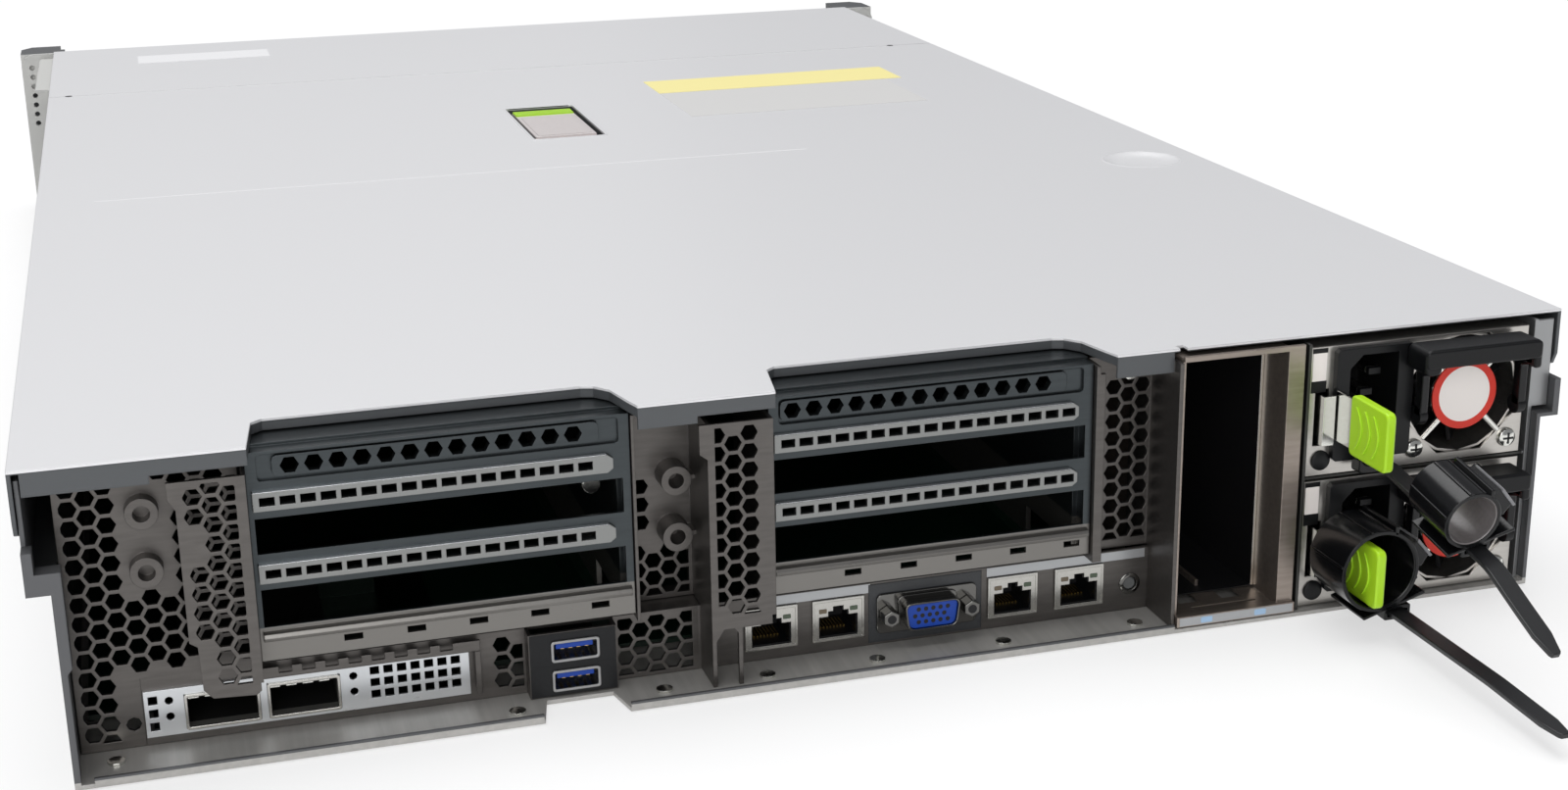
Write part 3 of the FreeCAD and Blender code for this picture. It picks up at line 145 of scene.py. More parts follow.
def two_tone(m, axis, level, colour, test_kind="GREATER_THAN"):
    """Base colour that changes past a level (mm) along one of the object's own axes."""
    tree, shader = m.node_tree, m.node_tree.nodes["Principled BSDF"]
    place = tree.nodes.new("ShaderNodeTexCoord")
    split = tree.nodes.new("ShaderNodeSeparateXYZ")
    test = tree.nodes.new("ShaderNodeMath")
    mix = tree.nodes.new("ShaderNodeMix")
    mix.data_type = "RGBA"
    test.operation = test_kind
    test.inputs[1].default_value = level * MM
    tree.links.new(place.outputs["Object"], split.inputs[0])
    tree.links.new(split.outputs[axis], test.inputs[0])
    tree.links.new(test.outputs[0], mix.inputs["Factor"])
    mix.inputs["A"].default_value = shader.inputs["Base Color"].default_value
    for link in shader.inputs["Base Color"].links:
        tree.links.new(link.from_socket, mix.inputs["A"])
    mix.inputs["B"].default_value = (*colour, 1)
    tree.links.new(mix.outputs["Result"], shader.inputs["Base Color"])
    return m


# Levels at which a sheet changes colour, each taken from the box of the node that it is on (mm); some mark a
# change of finish, and some split painted light from painted shade.
TOP_FACE_Z = span("top_cover")[1].z - 0.7
FLOOR_EDGE_Z = span("chassis_tub")[0].z + 2.0
CORNER_X = span("psu_bay")[0].x + 6.8
BAR_FACE_Y = span("slot_blanks")[1].y + 0.05
BAR_FOOT_Z = opening("slot_1_lower")[0].z - 0.8
CARD_FACE_Y = span("network_card")[1].y - 2.9
EAR_PLATE_Y = span("ear_brackets")[0].y + 24.9
LABEL_SPLIT_Y = span("cover_label")[0].y + 34.2
PALE = (0.735, 0.735, 0.745)

# The cover is painted pale on its top face and on the upper 0.7 mm of its sides, a painted highlight along the
# rounded edge, and dark grey below, painted shade on its folds and sides.
COVER_LIT_AND_SHADED = two_tone(material("cover_paint", (0.078, 0.083, 0.088), 0.25, 0.36, 0.012, 1500, edge=0.5,
                          bump=0.04), "Z", TOP_FACE_Z, PALE)
PAINT = material("cover_flat", PALE, 0.2, 0.36, 0.012, 1500, edge=0.5, bump=0.04)
# The tub is light taupe steel up to the floor's edge; its walls above are blue-grey steel painted dark grey, as
# painted shade on them.
TUB_SHADED_WALLS = two_tone(material("tub_steel", (0.45, 0.44, 0.42), 0.55, 0.5, 0.06, 500, (1, 0.05, 1), edge=0.5,
                        bump=0.05), "Z", FLOOR_EDGE_Z, (0.11, 0.112, 0.117))
REAR = material("rear_steel", (0.118, 0.110, 0.104), 0.85, 0.36, 0.08, 700, (0.15, 1, 1), edge=0.35,
                bump=0.05)
BAY = material("bay_steel", (0.34, 0.29, 0.255), 0.85, 0.34, 0.08, 700, (0.15, 1, 1), edge=0.35, bump=0.05)
CORNER = two_tone(material("corner_steel", (0.33, 0.335, 0.34), 0.85, 0.4, edge=0.35),
                  "X", CORNER_X, (0.07, 0.07, 0.066))
# The riser brackets and blanks are painted dark as painted shade in their recesses under the cover, the faces of
# their bars light as a painted highlight, and they are lighter below the lower slot.
ZINC_LIT_AND_SHADED = two_tone(material("zinc_steel", (0.056, 0.064, 0.068), 0.85, 0.30, 0.06, 800, (0.1, 1, 1), edge=0.35,
                         bump=0.04), "Y", BAR_FACE_Y, (0.25, 0.255, 0.25))
ZINC_LIT_AND_SHADED = two_tone(ZINC_LIT_AND_SHADED, "Z", BAR_FOOT_Z, (0.20, 0.192, 0.18), "LESS_THAN")
# The card and its cages are painted bright at the wall only; further in they are painted dark as shade, for their
# look through the slots; the real ones are bright steel all along.
CARD = two_tone(material("card_bracket_shaded_inside", (0.02, 0.03, 0.024), 0.9, 0.30, 0.04, 900, (0.1, 1, 1), edge=0.25),
                "Y", CARD_FACE_Y, (0.67, 0.69, 0.71))
SHADED_CAGE_SHELL = two_tone(material("cage_shell_shaded_inside", (0.08, 0.08, 0.078), 0.9, 0.4, 0.04, 900, edge=0.3),
                      "Y", CARD_FACE_Y, (0.52, 0.51, 0.48))
NICKEL = material("nickel_shell", (0.52, 0.51, 0.48), 1.0, 0.24, 0.03, 900, edge=0.2)
CHROME = material("dark_chrome", (0.15, 0.147, 0.14), 1.0, 0.14, 0.02, 900, edge=0.25)
CARD_STEEL = material("card_steel", (0.74, 0.76, 0.78), 0.9, 0.30, 0.04, 900, (0.1, 1, 1), edge=0.25)
PSU_STEEL = material("psu_steel", (0.52, 0.50, 0.47), 0.95, 0.30, 0.05, 700, (0.12, 1, 1), edge=0.3,
                     bump=0.04)
SPRING = material("spring_steel", (0.72, 0.72, 0.68), 1.0, 0.16, 0.02, 900, edge=0.25)
BLACK = material("black_plastic", (0.005, 0.0053, 0.006), 0.0, 0.36, 0.12, 1800, edge=0.4, bump=0.08,
                 gloss=0.26)
NYLON = material("black_nylon", (0.004, 0.0042, 0.0048), 0.0, 0.2, 0.06, 900, edge=0.2, gloss=0.34)
STRAP = material("strap_nylon", (0.013, 0.0135, 0.0145), 0.0, 0.30, 0.04, 1500, edge=0.2, spread=0.03)
GREY_NYLON = material("grey_nylon", (0.17, 0.155, 0.155), 0.0, 0.30, 0.08, 900, edge=0.2)
LEVER_GREY = material("lever_grey", (0.20, 0.20, 0.21), 0.2, 0.32, 0.05, 900, edge=0.2)
EAR = two_tone(material("ear_plastic", (0.06, 0.063, 0.067), 0.0, 0.45, 0.08, 1800, edge=0.6, bump=0.12),
               "Y", EAR_PLATE_Y, (0.54, 0.54, 0.52))
LEVER = material("lever_plastic", (0.030, 0.032, 0.035), 0.0, 0.40, 0.08, 1800, edge=0.5, bump=0.10)
DARK_PLATE = material("dark_plate", (0.009, 0.0095, 0.0105), 0.0, 0.42, 0.08, 900, edge=0.2, gloss=0.26)
# Near black, as painted shade inside the rear drive bay.
CAVITY_SHADE = material("cavity_shade", (0.004, 0.004, 0.005), 0.0, 0.5)
GREEN = material("green_plastic", (0.40, 0.69, 0.02), 0.0, 0.34, edge=0.4, gloss=0.4)
# The boards, memory modules and heatsinks inside are painted far darker than their own colour, as painted shade
# inside the closed case.
BOARD = material("board_green", (0.004, 0.016, 0.009), 0.0, 0.35, 0.2, 300, edge=0.2)
DARK_BOARD = material("board_dark", (0.006, 0.014, 0.010), 0.0, 0.4, 0.2, 300, edge=0.2)
SHADED_ALUMINIUM = material("aluminium_in_shade", (0.05, 0.05, 0.052), 0.9, 0.5, 0.03, 900, edge=0.2)
CAGE = material("cage_steel", (0.34, 0.34, 0.34), 0.9, 0.38, 0.05, 700, edge=0.4)
CARRIER = material("carrier_plastic", (0.020, 0.021, 0.024), 0.0, 0.42, 0.1, 1800, edge=0.4, bump=0.12)
LATCH = material("latch_face", (0.68, 0.63, 0.62), 0.3, 0.32, 0.03, 900, edge=0.6)
SERVICE = two_tone(material("service_label", (0.86, 0.77, 0.32), 0.0, 0.5), "Y", LABEL_SPLIT_Y,
                   (0.60, 0.595, 0.585))
WHITE = material("white_label", (0.80, 0.80, 0.81), 0.0, 0.42)
TAG = material("tag_plastic", (0.62, 0.62, 0.61), 0.0, 0.4, edge=0.3)
BUTTON = material("button_plastic", (0.10, 0.104, 0.104), 0.0, 0.35, edge=0.3)
BLUE = material("blue_plastic", (0.008, 0.05, 0.33), 0.0, 0.30, 0.03, 900, edge=0.2, gloss=0.3)
PALE_BLUE = material("pale_blue_mark", (0.35, 0.52, 0.72), 0.0, 0.35)
GOLD = material("gold_contact", (0.83, 0.55, 0.16), 1.0, 0.22)
CREAM = material("cream_disc", (0.78, 0.73, 0.70), 0.0, 0.40)
RED = material("red_ring", (0.60, 0.04, 0.026), 0.0, 0.5, gloss=0.25)
DARK = material("dark_hollow", (0.004, 0.004, 0.005), 0.0, 0.6)
LENS_GREEN = material("lens_green", (0.035, 0.06, 0.028), 0.0, 0.12, coat=0.5)
LENS_AMBER = material("lens_amber", (0.10, 0.07, 0.035), 0.0, 0.12, coat=0.5)
STRIP = material("label_strip", (0.40, 0.41, 0.42), 0.6, 0.30)

FINISH = {"chassis_tub": TUB_SHADED_WALLS, "front_top_panel": COVER_LIT_AND_SHADED, "top_cover": COVER_LIT_AND_SHADED, "cover_latch": LATCH,
          "rear_panel": REAR, "rear_columns": REAR, "drive_bay_frame": BAY, "psu_bay": CORNER,
          "riser_1_bracket": ZINC_LIT_AND_SHADED, "riser_2_bracket": ZINC_LIT_AND_SHADED, "slot_blanks": ZINC_LIT_AND_SHADED, "rivets": SPRING,
          "network_card": CARD, "transceiver_cages": SHADED_CAGE_SHELL, "usb_ports": NICKEL,
          "network_ports": NICKEL, "id_button": BUTTON, "power_button": BUTTON, "fan_housings": BLACK,
          "motherboard": BOARD, "heatsinks": SHADED_ALUMINIUM, "memory_modules": DARK_BOARD, "drive_cage": CAGE,
          "drive_backplane": BOARD, "drive_blanks": CARRIER, "drive_carrier": CARRIER, "drive_lever": LEVER,
          "ear_brackets": EAR, "latch_lever_left": LEVER, "latch_lever_right": LEVER, "asset_tag": TAG,
          "cover_label": SERVICE, "front_label": WHITE, "monitor_port": NICKEL}
for i in range(1, 7):
    FINISH["fan_rotor_%d" % i] = BLACK
for k in (1, 2):
    for part, finish in (("case", PSU_STEEL), ("inlet", BLACK), ("fan_rotor", BLACK), ("handle", BLACK),
                         ("latch", SPRING), ("tab", GREEN), ("screws", SPRING), ("strap", NYLON),
                         ("clamp", NYLON)):
        FINISH["psu_%d_%s" % (k, part)] = finish
for name, finish in FINISH.items():
    for s in frame["nodes"][name].material_slots:
        s.link = "OBJECT"
        s.material = finish


# ---- shapes --------------------------------------------------------------------------------------
# an edge that turns by more than this is beveled, and stays sharp on a smooth piece
SHARP = math.radians(38)


def place(axis):
    """Turns (u, v, along) into the frame: for y, u = X and v = Z; for x, u = Y and v = Z; for z, X and Y."""
    rows = {"x": ((0, 0, 1), (1, 0, 0), (0, 1, 0)), "y": ((1, 0, 0), (0, 0, 1), (0, 1, 0)),
            "z": ((1, 0, 0), (0, 1, 0), (0, 0, 1))}[axis]
    return Matrix(rows).to_4x4()


def finish_piece(bm, name, mat, body, slot, bevel=0.0, smooth=False, turn=None):
    """Makes the object, with its material and bevel (mm), and says what body it goes with; slot is not used."""
    if turn is not None:
        bm.transform(turn)
    bm.transform(Matrix.Scale(MM, 4))
    bmesh.ops.recalc_face_normals(bm, faces=bm.faces)
    mesh = bpy.data.meshes.new(name)
    bm.to_mesh(mesh)
    bm.free()
    obj = bpy.data.objects.new(name, mesh)
    bpy.context.scene.collection.objects.link(obj)
    mesh.materials.append(mat)
    if smooth:
        for p in mesh.polygons:
            p.use_smooth = True
        mesh.set_sharp_from_angle(angle=SHARP)
    if bevel:
        b = obj.modifiers.new("bevel", "BEVEL")
        b.width, b.segments, b.limit_method, b.angle_limit = bevel * MM, 2, "ANGLE", SHARP
        b.harden_normals = False
    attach(obj, body)
    return obj


def prism(name, outlines, axis, a0, a1, mat, body, slot, **look):
    """One or more polygons, each run from a0 to a1 along an axis; all make one piece."""
    bm = bmesh.new()
    for outline in outlines:
        low = [bm.verts.new((u, v, a0)) for u, v in outline]
        high = [bm.verts.new((u, v, a1)) for u, v in outline]
        bm.faces.new(low[::-1])
        bm.faces.new(high)
        for i in range(len(outline)):
            j = (i + 1) % len(outline)
            bm.faces.new((low[i], low[j], high[j], high[i]))
    bm.transform(place(axis))
    return finish_piece(bm, name, mat, body, slot, **look)


def frame_plate(name, outline, inner, axis, a0, a1, mat, body, slot, **look):
    """A rim: outline and inner have as many points each, joined all round."""
    bm = bmesh.new()
    n = len(outline)
    loops = [[bm.verts.new((u, v, a)) for u, v in loop] for a in (a0, a1) for loop in (outline, inner)]
    out_low, in_low, out_high, in_high = loops
    for i in range(n):
        j = (i + 1) % n
        bm.faces.new((out_low[i], out_low[j], out_high[j], out_high[i]))
        bm.faces.new((in_low[j], in_low[i], in_high[i], in_high[j]))
        bm.faces.new((out_high[i], out_high[j], in_high[j], in_high[i]))
        bm.faces.new((out_low[j], out_low[i], in_low[i], in_low[j]))
    bm.transform(place(axis))
    return finish_piece(bm, name, mat, body, slot, **look)


def turned(name, profile, at, axis, mat, body, slot, n=48, **look):
    """Profile of (radius, distance along) turned about an axis through a point; closed on the axis."""
    bm = bmesh.new()
    rings = []
    for r, h in profile:
        if r < 1e-6:
            rings.append([bm.verts.new((0, 0, h))])
        else:
            angles = [2 * math.pi * i / n for i in range(n)]
            rings.append([bm.verts.new((r * math.cos(a), r * math.sin(a), h)) for a in angles])
    for a, b in zip(rings, rings[1:]):
        for i in range(n):
            j = (i + 1) % n
            corners = [a[i % len(a)], a[j % len(a)], b[j % len(b)], b[i % len(b)]]
            bm.faces.new(list(dict.fromkeys(corners)))
    bm.transform(Matrix.Translation(at) @ place(axis))
    look.setdefault("smooth", True)
    return finish_piece(bm, name, mat, body, slot, **look)


def circle(u, v, r, n=32, a0=0.0, a1=360.0):
    """Points of a circle, or of an arc from a0 to a1 degrees with both its ends."""
    steps = n if abs(a1 - a0) >= 359.9 else n - 1
    angles = [math.radians(a0 + (a1 - a0) * i / steps) for i in range(n)]
    return [(u + r * math.cos(a), v + r * math.sin(a)) for a in angles]


def rounded(u0, u1, v0, v1, r, n=5):
    """A rectangle with corners of radius r."""
    u0, u1, v0, v1 = min(u0, u1), max(u0, u1), min(v0, v1), max(v0, v1)
    pts = []
    corners = ((u1 - r, v0 + r, -90), (u1 - r, v1 - r, 0), (u0 + r, v1 - r, 90), (u0 + r, v0 + r, 180))
    for cu, cv, a in corners:
        pts += circle(cu, cv, r, n, a, a + 90)
    return pts


def box_outline(u0, u1, v0, v1):
    return [(u0, v0), (u1, v0), (u1, v1), (u0, v1)]


def soften(points, r, n=4):
    """Rounds every corner of a polygon."""
    out = []
    for i, p in enumerate(points):
        a, b = Vector(points[i - 1]), Vector(points[(i + 1) % len(points)])
        p = Vector(p)
        da, db = (a - p), (b - p)
        cut = min(r, da.length / 2.2, db.length / 2.2)
        s, e = p + da.normalized() * cut, p + db.normalized() * cut
        for k in range(n + 1):
            t = k / n
            q = s.lerp(p, t).lerp(p.lerp(e, t), t)
            out.append((q.x, q.y))
    return out


def shrink(points, d):
    """Moves each point of an outline towards its middle by d, across and up."""
    n = len(points)
    c = Vector((sum(p[0] for p in points) / n, sum(p[1] for p in points) / n))
    out = []
    for p in points:
        v = Vector(p) - c
        across = math.copysign(min(abs(v.x), d), v.x)
        up = math.copysign(min(abs(v.y), d), v.y)
        out.append((c.x + v.x - across, c.y + v.y - up))
    return out


def mirrored(x, z, half):
    """Closed outline, alike left and right of x; half lists its right side from the foot up."""
    right = [(x + u, z + w) for u, w in half]
    left = [(x - u, z + w) for u, w in half[::-1]]
    return left[-1:] + right + left[:-1]


# ---- cover ---------------------------------------------------------------------------------------
WELL_Y, WELL_RIM_Y = (-78.0, -3.0), (-79.2, -1.8)
DIMPLE_XY = (-200.0, 124.0)
# radius, and height over the cover
DIMPLE = ((16.2, -0.06), (16.0, 0.05), (15.2, 0.04), (14.2, -0.2), (12.4, -0.8), (10.4, -1.25), (8.4, -1.4),
          (0, -1.42))
# white strips painted as the highlight along the seam and the fold: name, place in Y, and the X of its two ends
HIGHLIGHT_LINES = (("seam_highlight", -187.2, 213.0, -199.0), ("fold_highlight", 56.4, 203.0, -80.0))
RELIEF_X, RELIEF_Y = (214.8, -201.5), -188.4


def cover_details():
    """Green grip and inlay of the cover's latch, the rim of its well, the pressed dimple, and the seams, with a
    painted highlight along the seam and the fold.
    """
    lo, hi = span("cover_latch")
    top = span("top_cover")[1].z
    x0, x1 = lo.x, hi.x
    ribs = [lo.y + 1.2 + 1.9 * i for i in range(5)]
    grip = [box_outline(y, lo.y + 2.3 + 1.9 * i, hi.z - 0.5, hi.z + 0.55) for i, y in enumerate(ribs)]
    grip.append([(lo.y - 0.2, hi.z - 1.6), (lo.y + 11.0, hi.z - 0.3), (lo.y + 11.0, hi.z + 0.15),
                 (lo.y + 0.4, hi.z - 0.1)])
    prism("latch_grip", grip, "x", x0 + 1.8, x1 - 1.8, GREEN, "cover_latch", "green_plastic", bevel=0.2)
    prism("latch_inlay", [rounded(x0 + 3.2, x1 - 3.2, lo.y + 15.0, lo.y + 58.0, 1.2)],
          "z", hi.z, hi.z + 0.12, LATCH, "cover_latch", "latch_plastic")
    rim = rounded(x0 - 1.4, x1 + 1.4, *WELL_RIM_Y, 2.2)
    hole = rounded(x0 - 0.3, x1 + 0.3, *WELL_Y, 1.5)
    frame_plate("latch_well_rim", rim, hole, "z", top - 0.5, top + 0.18, COVER_LIT_AND_SHADED, "cover", "cover_paint",
                bevel=0.12)
    turned("cover_dimple", [(r, top + h) for r, h in DIMPLE], (*DIMPLE_XY, 0), "z", PAINT,
           "cover", "cover_paint", n=64)
    for name, y, a, b in HIGHLIGHT_LINES:
        prism(name, [box_outline(b, a, y - 0.35, y + 0.35)], "z", top - 0.05, top + 0.05, WHITE,
              "cover", "cover_paint")
    for i, x in enumerate(RELIEF_X):
        turned("seam_relief_%d" % (i + 1), [(1.7, top - 0.2), (1.7, top + 0.04), (0, top + 0.04)],
               (x, RELIEF_Y, 0), "z", DARK, "cover", "cover_paint", n=20)


# ---- connectors ----------------------------------------------------------------------------------
# right half of a jack's stepped mouth and of its face plate, from the foot up: across, and height
JACK_MOUTH = ((5.9, 1.0), (5.9, 7.6), (3.1, 7.6), (3.1, 9.2), (1.6, 9.2), (1.6, 10.6))
JACK_FACE = ((7.3, 0.5), (7.3, 7.6), (7.3, 12.2), (3.1, 12.2), (2.3, 12.2), (1.6, 12.2))
CONTACT_PITCH = 1.02


def network_jacks():
    """Black liner, face plate, bright shell, eight contacts and two lenses of each network jack."""
    lo, hi = span("network_ports")
    back, z0 = hi.y, lo.z
    for i in range(4):
        left, right = opening("network_jack_%d" % (i + 1))
        x = (left.x + right.x) / 2
        mouth = mirrored(x, z0, JACK_MOUTH)
        frame_plate("jack_liner_%d" % (i + 1), mouth, shrink(mouth, 0.35), "y", back - 14.5, back - 0.5,
                    BLACK, "chassis", "psu_plastic")
        prism("jack_back_%d" % (i + 1), [shrink(mouth, 0.2)], "y", back - 15.2, back - 14.4, DARK,
              "chassis", "psu_plastic")
        frame_plate("jack_face_%d" % (i + 1), mirrored(x, z0, JACK_FACE), mouth, "y", back, back + 0.08,
                    NICKEL, "chassis", "connector_steel")
        frame_plate("jack_shell_%d" % (i + 1), rounded(x - 7.9, x + 7.9, z0 - 0.1, z0 + 12.9, 0.3),
                    rounded(x - 7.2, x + 7.2, z0 + 0.6, z0 + 12.1, 0.2), "y", back - 0.4, back + 0.25,
                    NICKEL, "chassis", "connector_steel", bevel=0.1)
        pins = [box_outline(x - 3.75 + CONTACT_PITCH * k, x - 3.3 + CONTACT_PITCH * k, z0 + 1.35, z0 + 1.8)
                for k in range(8)]
        prism("jack_contacts_%d" % (i + 1), pins, "y", back - 12.0, back - 6.0, GOLD,
              "chassis", "connector_steel")
        for number, (u, lens) in enumerate(((x - 4.7, LENS_GREEN), (x + 4.7, LENS_AMBER))):
            window = rounded(u - 1.2, u + 1.2, z0 + 8.7, z0 + 10.1, 0.3)
            prism("jack_lens_%d_%d" % (i + 1, number), [window], "y", back - 0.6, back + 0.2, lens,
                  "chassis", "label_white", bevel=0.08)


PANEL_PLATE_Z = (2.0, 20.4)


def monitor_socket():
    """Dark plate, flange, D-shaped shell, blue insert with fifteen bores, and two hex nuts."""
    lo, hi = span("monitor_port")
    x, z, y = (lo.x + hi.x) / 2, (lo.z + hi.z) / 2, lo.y + 6.0

    def dee(half_top, half_low, half_h, r):
        return soften([(x - half_low, z - half_h), (x + half_low, z - half_h), (x + half_top, z + half_h),
                       (x - half_top, z + half_h)], r)
    prism("monitor_plate", [box_outline(x - 17.4, x + 17.9, *PANEL_PLATE_Z)], "y", y - 0.02, y + 0.14, LEVER,
          "chassis", "psu_plastic")
    flange = prism("monitor_flange", [rounded(x - 15.6, x + 15.6, z - 6.2, z + 6.2, 1.8)],
                   "y", y + 0.1, y + 1.0, CHROME, "chassis", "connector_steel", bevel=0.25)
    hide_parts("monitor_port")
    frame_plate("monitor_shell", dee(8.7, 7.7, 4.4, 2.2), dee(8.1, 7.1, 3.85, 1.9), "y", y + 0.8, hi.y,
                CHROME, "chassis", "connector_steel", bevel=0.2, smooth=True)
    frame_plate("monitor_root", dee(9.5, 8.5, 5.2, 2.6), dee(8.2, 7.2, 4.0, 1.9), "y", y + 0.9, y + 1.5,
                CHROME, "chassis", "connector_steel", bevel=0.2, smooth=True)
    prism("monitor_insert", [dee(8.0, 7.0, 3.75, 1.8)], "y", y, hi.y - 0.9, BLUE,
          "chassis", "lever_plastic", smooth=True)
    bores = [circle(x + 2.25 * k + (1.1 if row == 1 else 0.0) - 0.3, z - 2.0 + 2.0 * row, 0.7, 12)
             for row in range(3) for k in range(-2, 3)]
    prism("monitor_bores", bores, "y", hi.y - 1.0, hi.y - 0.86, DARK, "chassis", "psu_plastic")
    for i, nut_x in enumerate((x - 12.5, x + 12.5)):
        prism("monitor_nut_%d" % (i + 1), [circle(nut_x, z, 2.7, 6, 30.0, 390.0)],
              "y", y + 1.0, hi.y - 0.6, CHROME, "chassis", "connector_steel", bevel=0.3)
        turned("monitor_nut_bore_%d" % (i + 1), [(1.35, hi.y - 1.0), (1.35, hi.y - 0.55), (0, hi.y - 0.55)],
               (nut_x, 0, z), "y", DARK, "chassis", "psu_plastic", n=20)


def usb_mouth(x, z):
    """Outline of the hole that a socket's lip fills."""
    return rounded(x - 6.9, x + 6.9, z - 3.2, z + 3.2, 0.9)


def usb_sockets():
    """Blue tongue, contacts and lip of each socket, the upper one first."""
    lo, hi = span("usb_ports")
    x = (lo.x + hi.x) / 2
    for i, z in enumerate((hi.z - 2.85, lo.z + 2.85)):
        prism("usb_tongue_%d" % (i + 1), [box_outline(x - 5.3, x + 5.3, z + 0.1, z + 2.0)],
              "y", hi.y - 14.0, hi.y - 1.5, BLUE, "chassis", "lever_plastic", bevel=0.15)
        pads = [box_outline(x - 4.0 + 2.3 * k, x - 3.0 + 2.3 * k, z - 0.05, z + 0.12) for k in range(4)]
        prism("usb_contacts_%d" % (i + 1), pads, "y", hi.y - 9.0, hi.y - 1.7, GOLD,
              "chassis", "connector_steel")
        frame_plate("usb_lip_%d" % (i + 1), usb_mouth(x, z),
                    rounded(x - 6.1, x + 6.1, z - 2.4, z + 2.4, 0.4), "y", hi.y - 0.3, hi.y + 0.35, CAGE,
                    "chassis", "connector_steel", bevel=0.15)


STRIP_ENDS, STRIP_Z = ((22.0, -7.0), (-43.5, -94.5)), (17.9, 20.7)


def panel_trim():
    """Bezel of the round button, the two bare strips over the ports, and the cages' lips and fingers."""
    lo, hi = span("id_button")
    x, z, y = (lo.x + hi.x) / 2, (lo.z + hi.z) / 2, hi.y + 0.2
    turned("id_button_bezel", [(3.4, y - 0.3), (3.4, y + 0.25), (3.0, y + 0.5), (2.2, y + 0.5),
                               (2.05, y + 0.2), (2.05, y - 0.3)],
           (x, 0, z), "y", CHROME, "chassis", "connector_steel", n=32)
    for i, (a, b) in enumerate(STRIP_ENDS):
        prism("label_strip_%d" % (i + 1), [box_outline(b, a, *STRIP_Z)], "y", y - 0.02, y + 0.12, STRIP,
              "chassis", "connector_steel")
    back = span("transceiver_cages")[1].y
    for i in (1, 2):
        lo, hi = opening("transceiver_cage_%d" % i)
        outer = rounded(lo.x - 1.3, hi.x + 1.3, lo.z - 1.3, hi.z + 1.3, 0.6)
        inner = rounded(lo.x - 0.5, hi.x + 0.5, lo.z - 0.5, hi.z + 0.5, 0.4)
        frame_plate("cage_lip_%d" % i, outer, inner, "y", back - 0.6, back + 0.2, NICKEL,
                    "chassis", "connector_steel", bevel=0.15)
        fingers = [box_outline(lo.x + 1.5 + 4.4 * k, lo.x + 4.3 + 4.4 * k, hi.z - 0.1, hi.z + 0.25)
                   for k in range(4)]
        prism("cage_fingers_%d" % i, fingers, "y", back - 9.0, back - 0.4, SPRING,
              "chassis", "connector_steel")


def rear_bay():
    """Label strip, blue marks and the inner cage of the rear drive bay, painted near black as the shade inside it.
    """
    lo, hi = span("drive_bay_frame")
    prism("bay_label", [box_outline(lo.x + 0.6, hi.x - 0.8, lo.z + 0.3, lo.z + 2.9)], "y", hi.y - 0.1,
          hi.y + 0.1, STRIP, "chassis", "connector_steel")
    for i, x in enumerate((hi.x - 9.6, hi.x - 27.3)):
        prism("bay_mark_%d" % (i + 1), [rounded(x - 1.9, x + 1.9, lo.z + 0.7, lo.z + 2.5, 0.4)], "y", hi.y,
              hi.y + 0.16, PALE_BLUE, "chassis", "lever_plastic")
    left, right = hi.x - 1.4, lo.x + 5.3
    floor, roof, back, front = lo.z + 2.7, hi.z - 1.8, lo.y + 1.4, hi.y - 16.6
    for name, outline in (("side", box_outline(right + 0.1, right + 0.9, floor, roof)),
                          ("floor", box_outline(right + 0.9, left, floor, floor + 0.4)),
                          ("roof", box_outline(right + 0.9, left, roof - 0.4, roof))):
        prism("bay_cage_" + name, [outline], "y", back, front, CAVITY_SHADE, "chassis", "psu_plastic")
    prism("bay_cage_back", [box_outline(right + 0.9, left, floor + 0.4, roof - 0.4)], "y", back, back + 1.0,
          CAVITY_SHADE, "chassis", "psu_plastic")
    prism("bay_cage_edge", [box_outline(right + 0.05, right + 0.95, floor + 0.5, roof - 0.5)], "y", front,
          front + 0.6, SPRING, "chassis", "connector_steel")


def slot_trim():
    """Painted highlights along the upper edges of the bracket bars, and the standoff in the upper slot of the
    first riser.
    """
    for k in (1, 2):
        upper, lower = opening("slot_%d_upper" % k), opening("slot_%d_lower" % k)
        lo, hi = span("riser_%d_bracket" % k)
        for i, z in enumerate((upper[1].z + 8.3, lower[1].z + 8.18)):
            prism("bar_highlight_%d_%d" % (k, i + 1), [box_outline(lo.x + 6.8, hi.x - 1.4, z - 0.12, z + 0.1)],
                  "y", hi.y - 2.2, hi.y - 0.65, CARD_STEEL, "chassis", "zinc_steel")
    lo, hi = opening("slot_1_upper")
    turned("slot_standoff", [(0, 336.0), (2.8, 336.0), (2.8, 344.6), (2.4, 345.0), (0, 345.0)],
           (lo.x + 3.9, 0, (lo.z + hi.z) / 2 - 1.6), "y", SPRING, "chassis", "connector_steel", n=32)


def card_flange():
    """Slotted flange of the rear wall over the network card, with its end turned down beside the card."""
    lo, hi = span("network_card")
    y, low, top = opening("transceiver_cage_1")[1].y - 0.2, hi.z + 0.2, hi.z + 3.4
    far, end = hi.x - 30.0, lo.x - 1.4
    corner = end - 1.6
    outline = [(far, low), (corner, low), (corner, top)]
    for k in range(8):
        x = end + 6.0 + 6.2 * k
        outline += [(x, top), (x, low + 1.3), (x + 3.4, low + 1.3), (x + 3.4, top)]
    outline.append((far, top))
    prism("card_flange", [outline], "y", y, y + 1.0, REAR, "chassis", "zinc_steel", bevel=0.15)
    prism("card_flange_end", [box_outline(corner, end, lo.z + 1.0, low)], "y", y, y + 1.0, REAR,
          "chassis", "zinc_steel", bevel=0.15)


